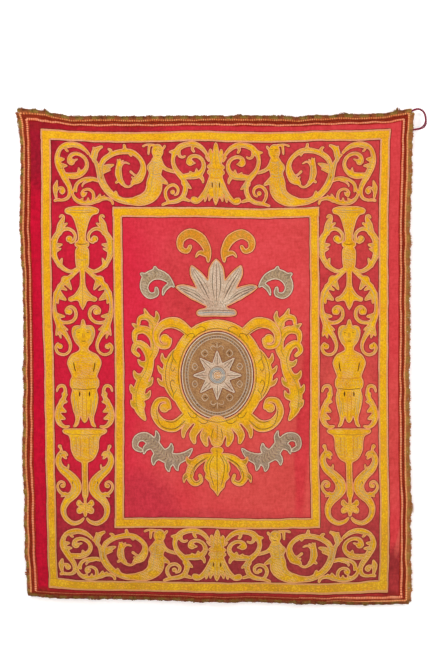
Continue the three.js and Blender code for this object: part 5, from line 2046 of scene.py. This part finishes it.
grayLeaf = [
    stroke([128, 372, 164, 408, 220, 424, 280, 402, 322, 350, 366, 312, 408, 322, 416, 362, 388, 380],
        [12, 44, 62, 64, 56, 50, 40, 30, 24], barbs=["gray", "pale", "dark", "pale"]),
    stroke([196, 420, 208, 454, 200, 484], [50, 34, 8]),
    stroke([232, 422, 250, 458, 244, 488], [56, 38, 8]),
    stroke([290, 396, 320, 424, 324, 456], [54, 36, 8]),
    stroke([326, 350, 364, 368, 374, 400], [46, 32, 8]),
    stroke([262, 400, 236, 372, 234, 344], [50, 34, 8]),
    stroke([320, 346, 304, 312, 312, 280], [46, 30, 8]),
]

pendant = [
    rightHalf(0, 362, 26, 366, 36, 382, 26, 396, 42, 412, 62, 440, 70, 474, 58, 500, 66, 516, 44, 540,
        38, 566, 20, 584, 0, 612),
    twin(stroke([34, 406, 84, 424, 126, 462, 142, 512, 116, 548, 82, 534, 88, 506], [28, 46, 50, 38, 30,
        24, 20])),
    twin(stroke([116, 448, 146, 436, 156, 412], [46, 30, 8])),
    twin(stroke([138, 500, 164, 514, 170, 544], [42, 28, 8])),
    stitch("dark", 0, 372, 0, 596),
    twin(stitch("dark", 14, 404, 36, 446, 34, 500, 18, 560)),
    twin(stitch("olive", 26, 404, 52, 450, 50, 496, size=1.4)),
    hatch("vein", -30, 366, 30, 392, pitch=8),
    twin(stitch("dark", 60, 424, 106, 456, 124, 506, 106, 534)),
]

# a material slot name for each cloth
slots = {
    "felt": "yellow_felt",
    "brownFelt": "brown_felt",
    "creamFelt": "cream_felt",
    "grayFelt": "gray_felt",
    "orangeFelt": "orange_felt",
}


def makeOrnament(name, cloth, parts, allowance=None, lift=0.0, clear=True, edging="edging", veins="pale"):
    cut = Cut(veins, allowance or cutCloth["allowance"])
    for rows, place in parts:
        for row in rows:
            addRow(cut, row, place)
    sewnCloth(f"{name}_applique", cut, cloth, [name], slots[cloth], lift, clear, edging)


# down, squash, and the allowance of each border's cut cloths
borders = {"half": 818, "top": (116, 1.0, 2.5), "bottom": (2072, 0.85, 1.3)}
for at in ("top", "bottom"):
    down, squash, allowance = borders[at]
    makeOrnament(f"{at}_palmette", "felt", [(palmette, Place(0, down, 1, squash))], allowance)
    for side, sign in (("left", -1), ("right", 1)):
        place = Place(sign * borders["half"], down, -sign, squash)
        for name, rows in (
            ("inner_scroll", innerScroll),
            ("half_figure", halfFigure + calyxStem),
            ("corner_scroll", cornerScroll + smallScroll),
        ):
            makeOrnament(f"{at}_{name}_{side}", "felt", [(rows, place)], allowance)
print("borders sewn on")

columns = {"axis": 673, "top": 450, "allowance": {"left": 2.8, "right": 1.6}}
for side, sign in (("left", -1), ("right", 1)):
    allowance = columns["allowance"][side]
    place = Place(sign * columns["axis"], columns["top"])
    scrolls = upperScroll + lowerScroll
    parts = [(vase, place), (scrolls, place), (scrolls, place.mirrored())]
    makeOrnament(f"column_vase_{side}", "felt", parts, allowance)
    makeOrnament(f"column_bust_{side}", "felt", [(bust, place)], allowance)
    makeOrnament(f"column_goblet_{side}", "felt", [(goblet, place)], allowance)
    for facing, put in (("a", place), ("b", place.mirrored())):
        makeOrnament(f"column_fern_{side}_{facing}", "felt", [(fern, put)], allowance)
        makeOrnament(f"column_dolphin_{side}_{facing}", "felt", [(dolphin, put)], allowance)
print("columns sewn on")

medallion = {"down": 1300, "rosetteLift": 3.2}
centre = Place(0, medallion["down"])
makeOrnament("medallion_ring", "felt", [(ring, centre)], veins="vein")
makeOrnament("medallion_oval", "brownFelt", [(oval, centre)], edging="creamEdging")
makeOrnament(
    "medallion_rosette", "creamFelt", [(rosette, centre)],
    lift=medallion["rosetteLift"], clear=False, edging="creamEdging",
)
makeOrnament("crest_fan", "creamFelt", [(crest, centre)], veins="gray")
makeOrnament("pendant_leaf", "felt", [(pendant, centre)], veins="dark")
grayWays = {"edging": "creamEdging", "veins": "gray"}
for side, sign in (("left", -1), ("right", 1)):
    place = Place(0, medallion["down"], sign, 1)
    makeOrnament(f"flame_{side}", "orangeFelt", [(flame, place)], veins="olive")
    makeOrnament(f"plume_{side}", "grayFelt", [(plume, place)], **grayWays)
    makeOrnament(f"spray_{side}", "felt", [(spray, place)], veins="olive")
    makeOrnament(f"lower_leaf_{side}", "grayFelt", [(grayLeaf, place)], **grayWays)
print("medallion sewn on")

# pale backdrop and floor, soft light
studio = {
    "backdropGap": 0.012,
    "glow": 0.3,  # of the backdrop
    "floor": -2.74,
    "world": 0.42,
    "backdropHalf": 4,
    "backdropTop": 2,
    "floorHalf": 6,
    "aim": (0, 0, -1.2),  # the lights face this place
    # place, size and power of each soft light
    "lights": [
        ((-3.4, -3.6, 3.4), 1.4, 200),
        ((3.8, -4.6, 0.6), 2.2, 95),
        ((0.0, -6.0, -3.0), 2.6, 30),
    ],
}


def plainLook(name, colour, oneSided, glow=0.0):
    look = Look(name, 0.9)
    look.shader.inputs["Base Color"].default_value = paint(*colour)
    look.shader.inputs["Emission Color"].default_value = paint(*colour)
    look.shader.inputs["Emission Strength"].default_value = glow
    if oneSided:  # clear from behind, so that the cloth's back can be seen
        back = look.node("ShaderNodeNewGeometry", output="Backfacing")
        clear = look.node("ShaderNodeBsdfTransparent")
        output = look.tree.nodes["Material Output"]
        shown = look.node(
            "ShaderNodeMixShader", {},
            {0: back, 1: Wire(look, look.shader.outputs["BSDF"]), 2: clear},
        )
        look.feed(output.inputs["Surface"], shown)
    return look.material


def makePlane(name, material, corners):
    bm = bmesh.new()
    bm.faces.new([bm.verts.new(corner) for corner in corners])
    mesh = bpy.data.meshes.new(name)
    bm.to_mesh(mesh)
    bm.free()
    mesh.materials.append(material)
    plane = bpy.data.objects.new(name, mesh)
    scene.collection.objects.link(plane)


def makeStudio(settings):
    back, floor = cadBox[1][1] + settings["backdropGap"], settings["floor"]
    white = plainLook("backdrop", (255, 255, 255), True, settings["glow"])
    half, top, far = (settings[key] for key in ("backdropHalf", "backdropTop", "floorHalf"))
    wall = [(-half, back, floor), (half, back, floor), (half, back, top), (-half, back, top)]
    makePlane("backdrop", white, wall)
    pale = plainLook("floor", (244, 243, 240), False)
    makePlane("floor", pale, [(-far, -far, floor), (far, -far, floor), (far, far, floor), (-far, far, floor)])
    world = bpy.data.worlds.new("studio")
    world.use_nodes = True
    background = world.node_tree.nodes["Background"]
    background.inputs["Color"].default_value = (1, 1, 1, 1)
    background.inputs["Strength"].default_value = settings["world"]
    scene.world = world
    for k, (spot, size, power) in enumerate(settings["lights"]):
        data = bpy.data.lights.new(f"soft_{k}", "AREA")
        data.shape = "DISK"
        data.size = size
        data.energy = power
        light = bpy.data.objects.new(f"soft_{k}", data)
        light.location = spot
        aim = Vector(settings["aim"]) - Vector(spot)
        light.rotation_euler = aim.to_track_quat("-Z", "Y").to_euler()
        scene.collection.objects.link(light)
    scene.view_settings.view_transform = "Standard"


makeStudio(studio)
print("studio lit")
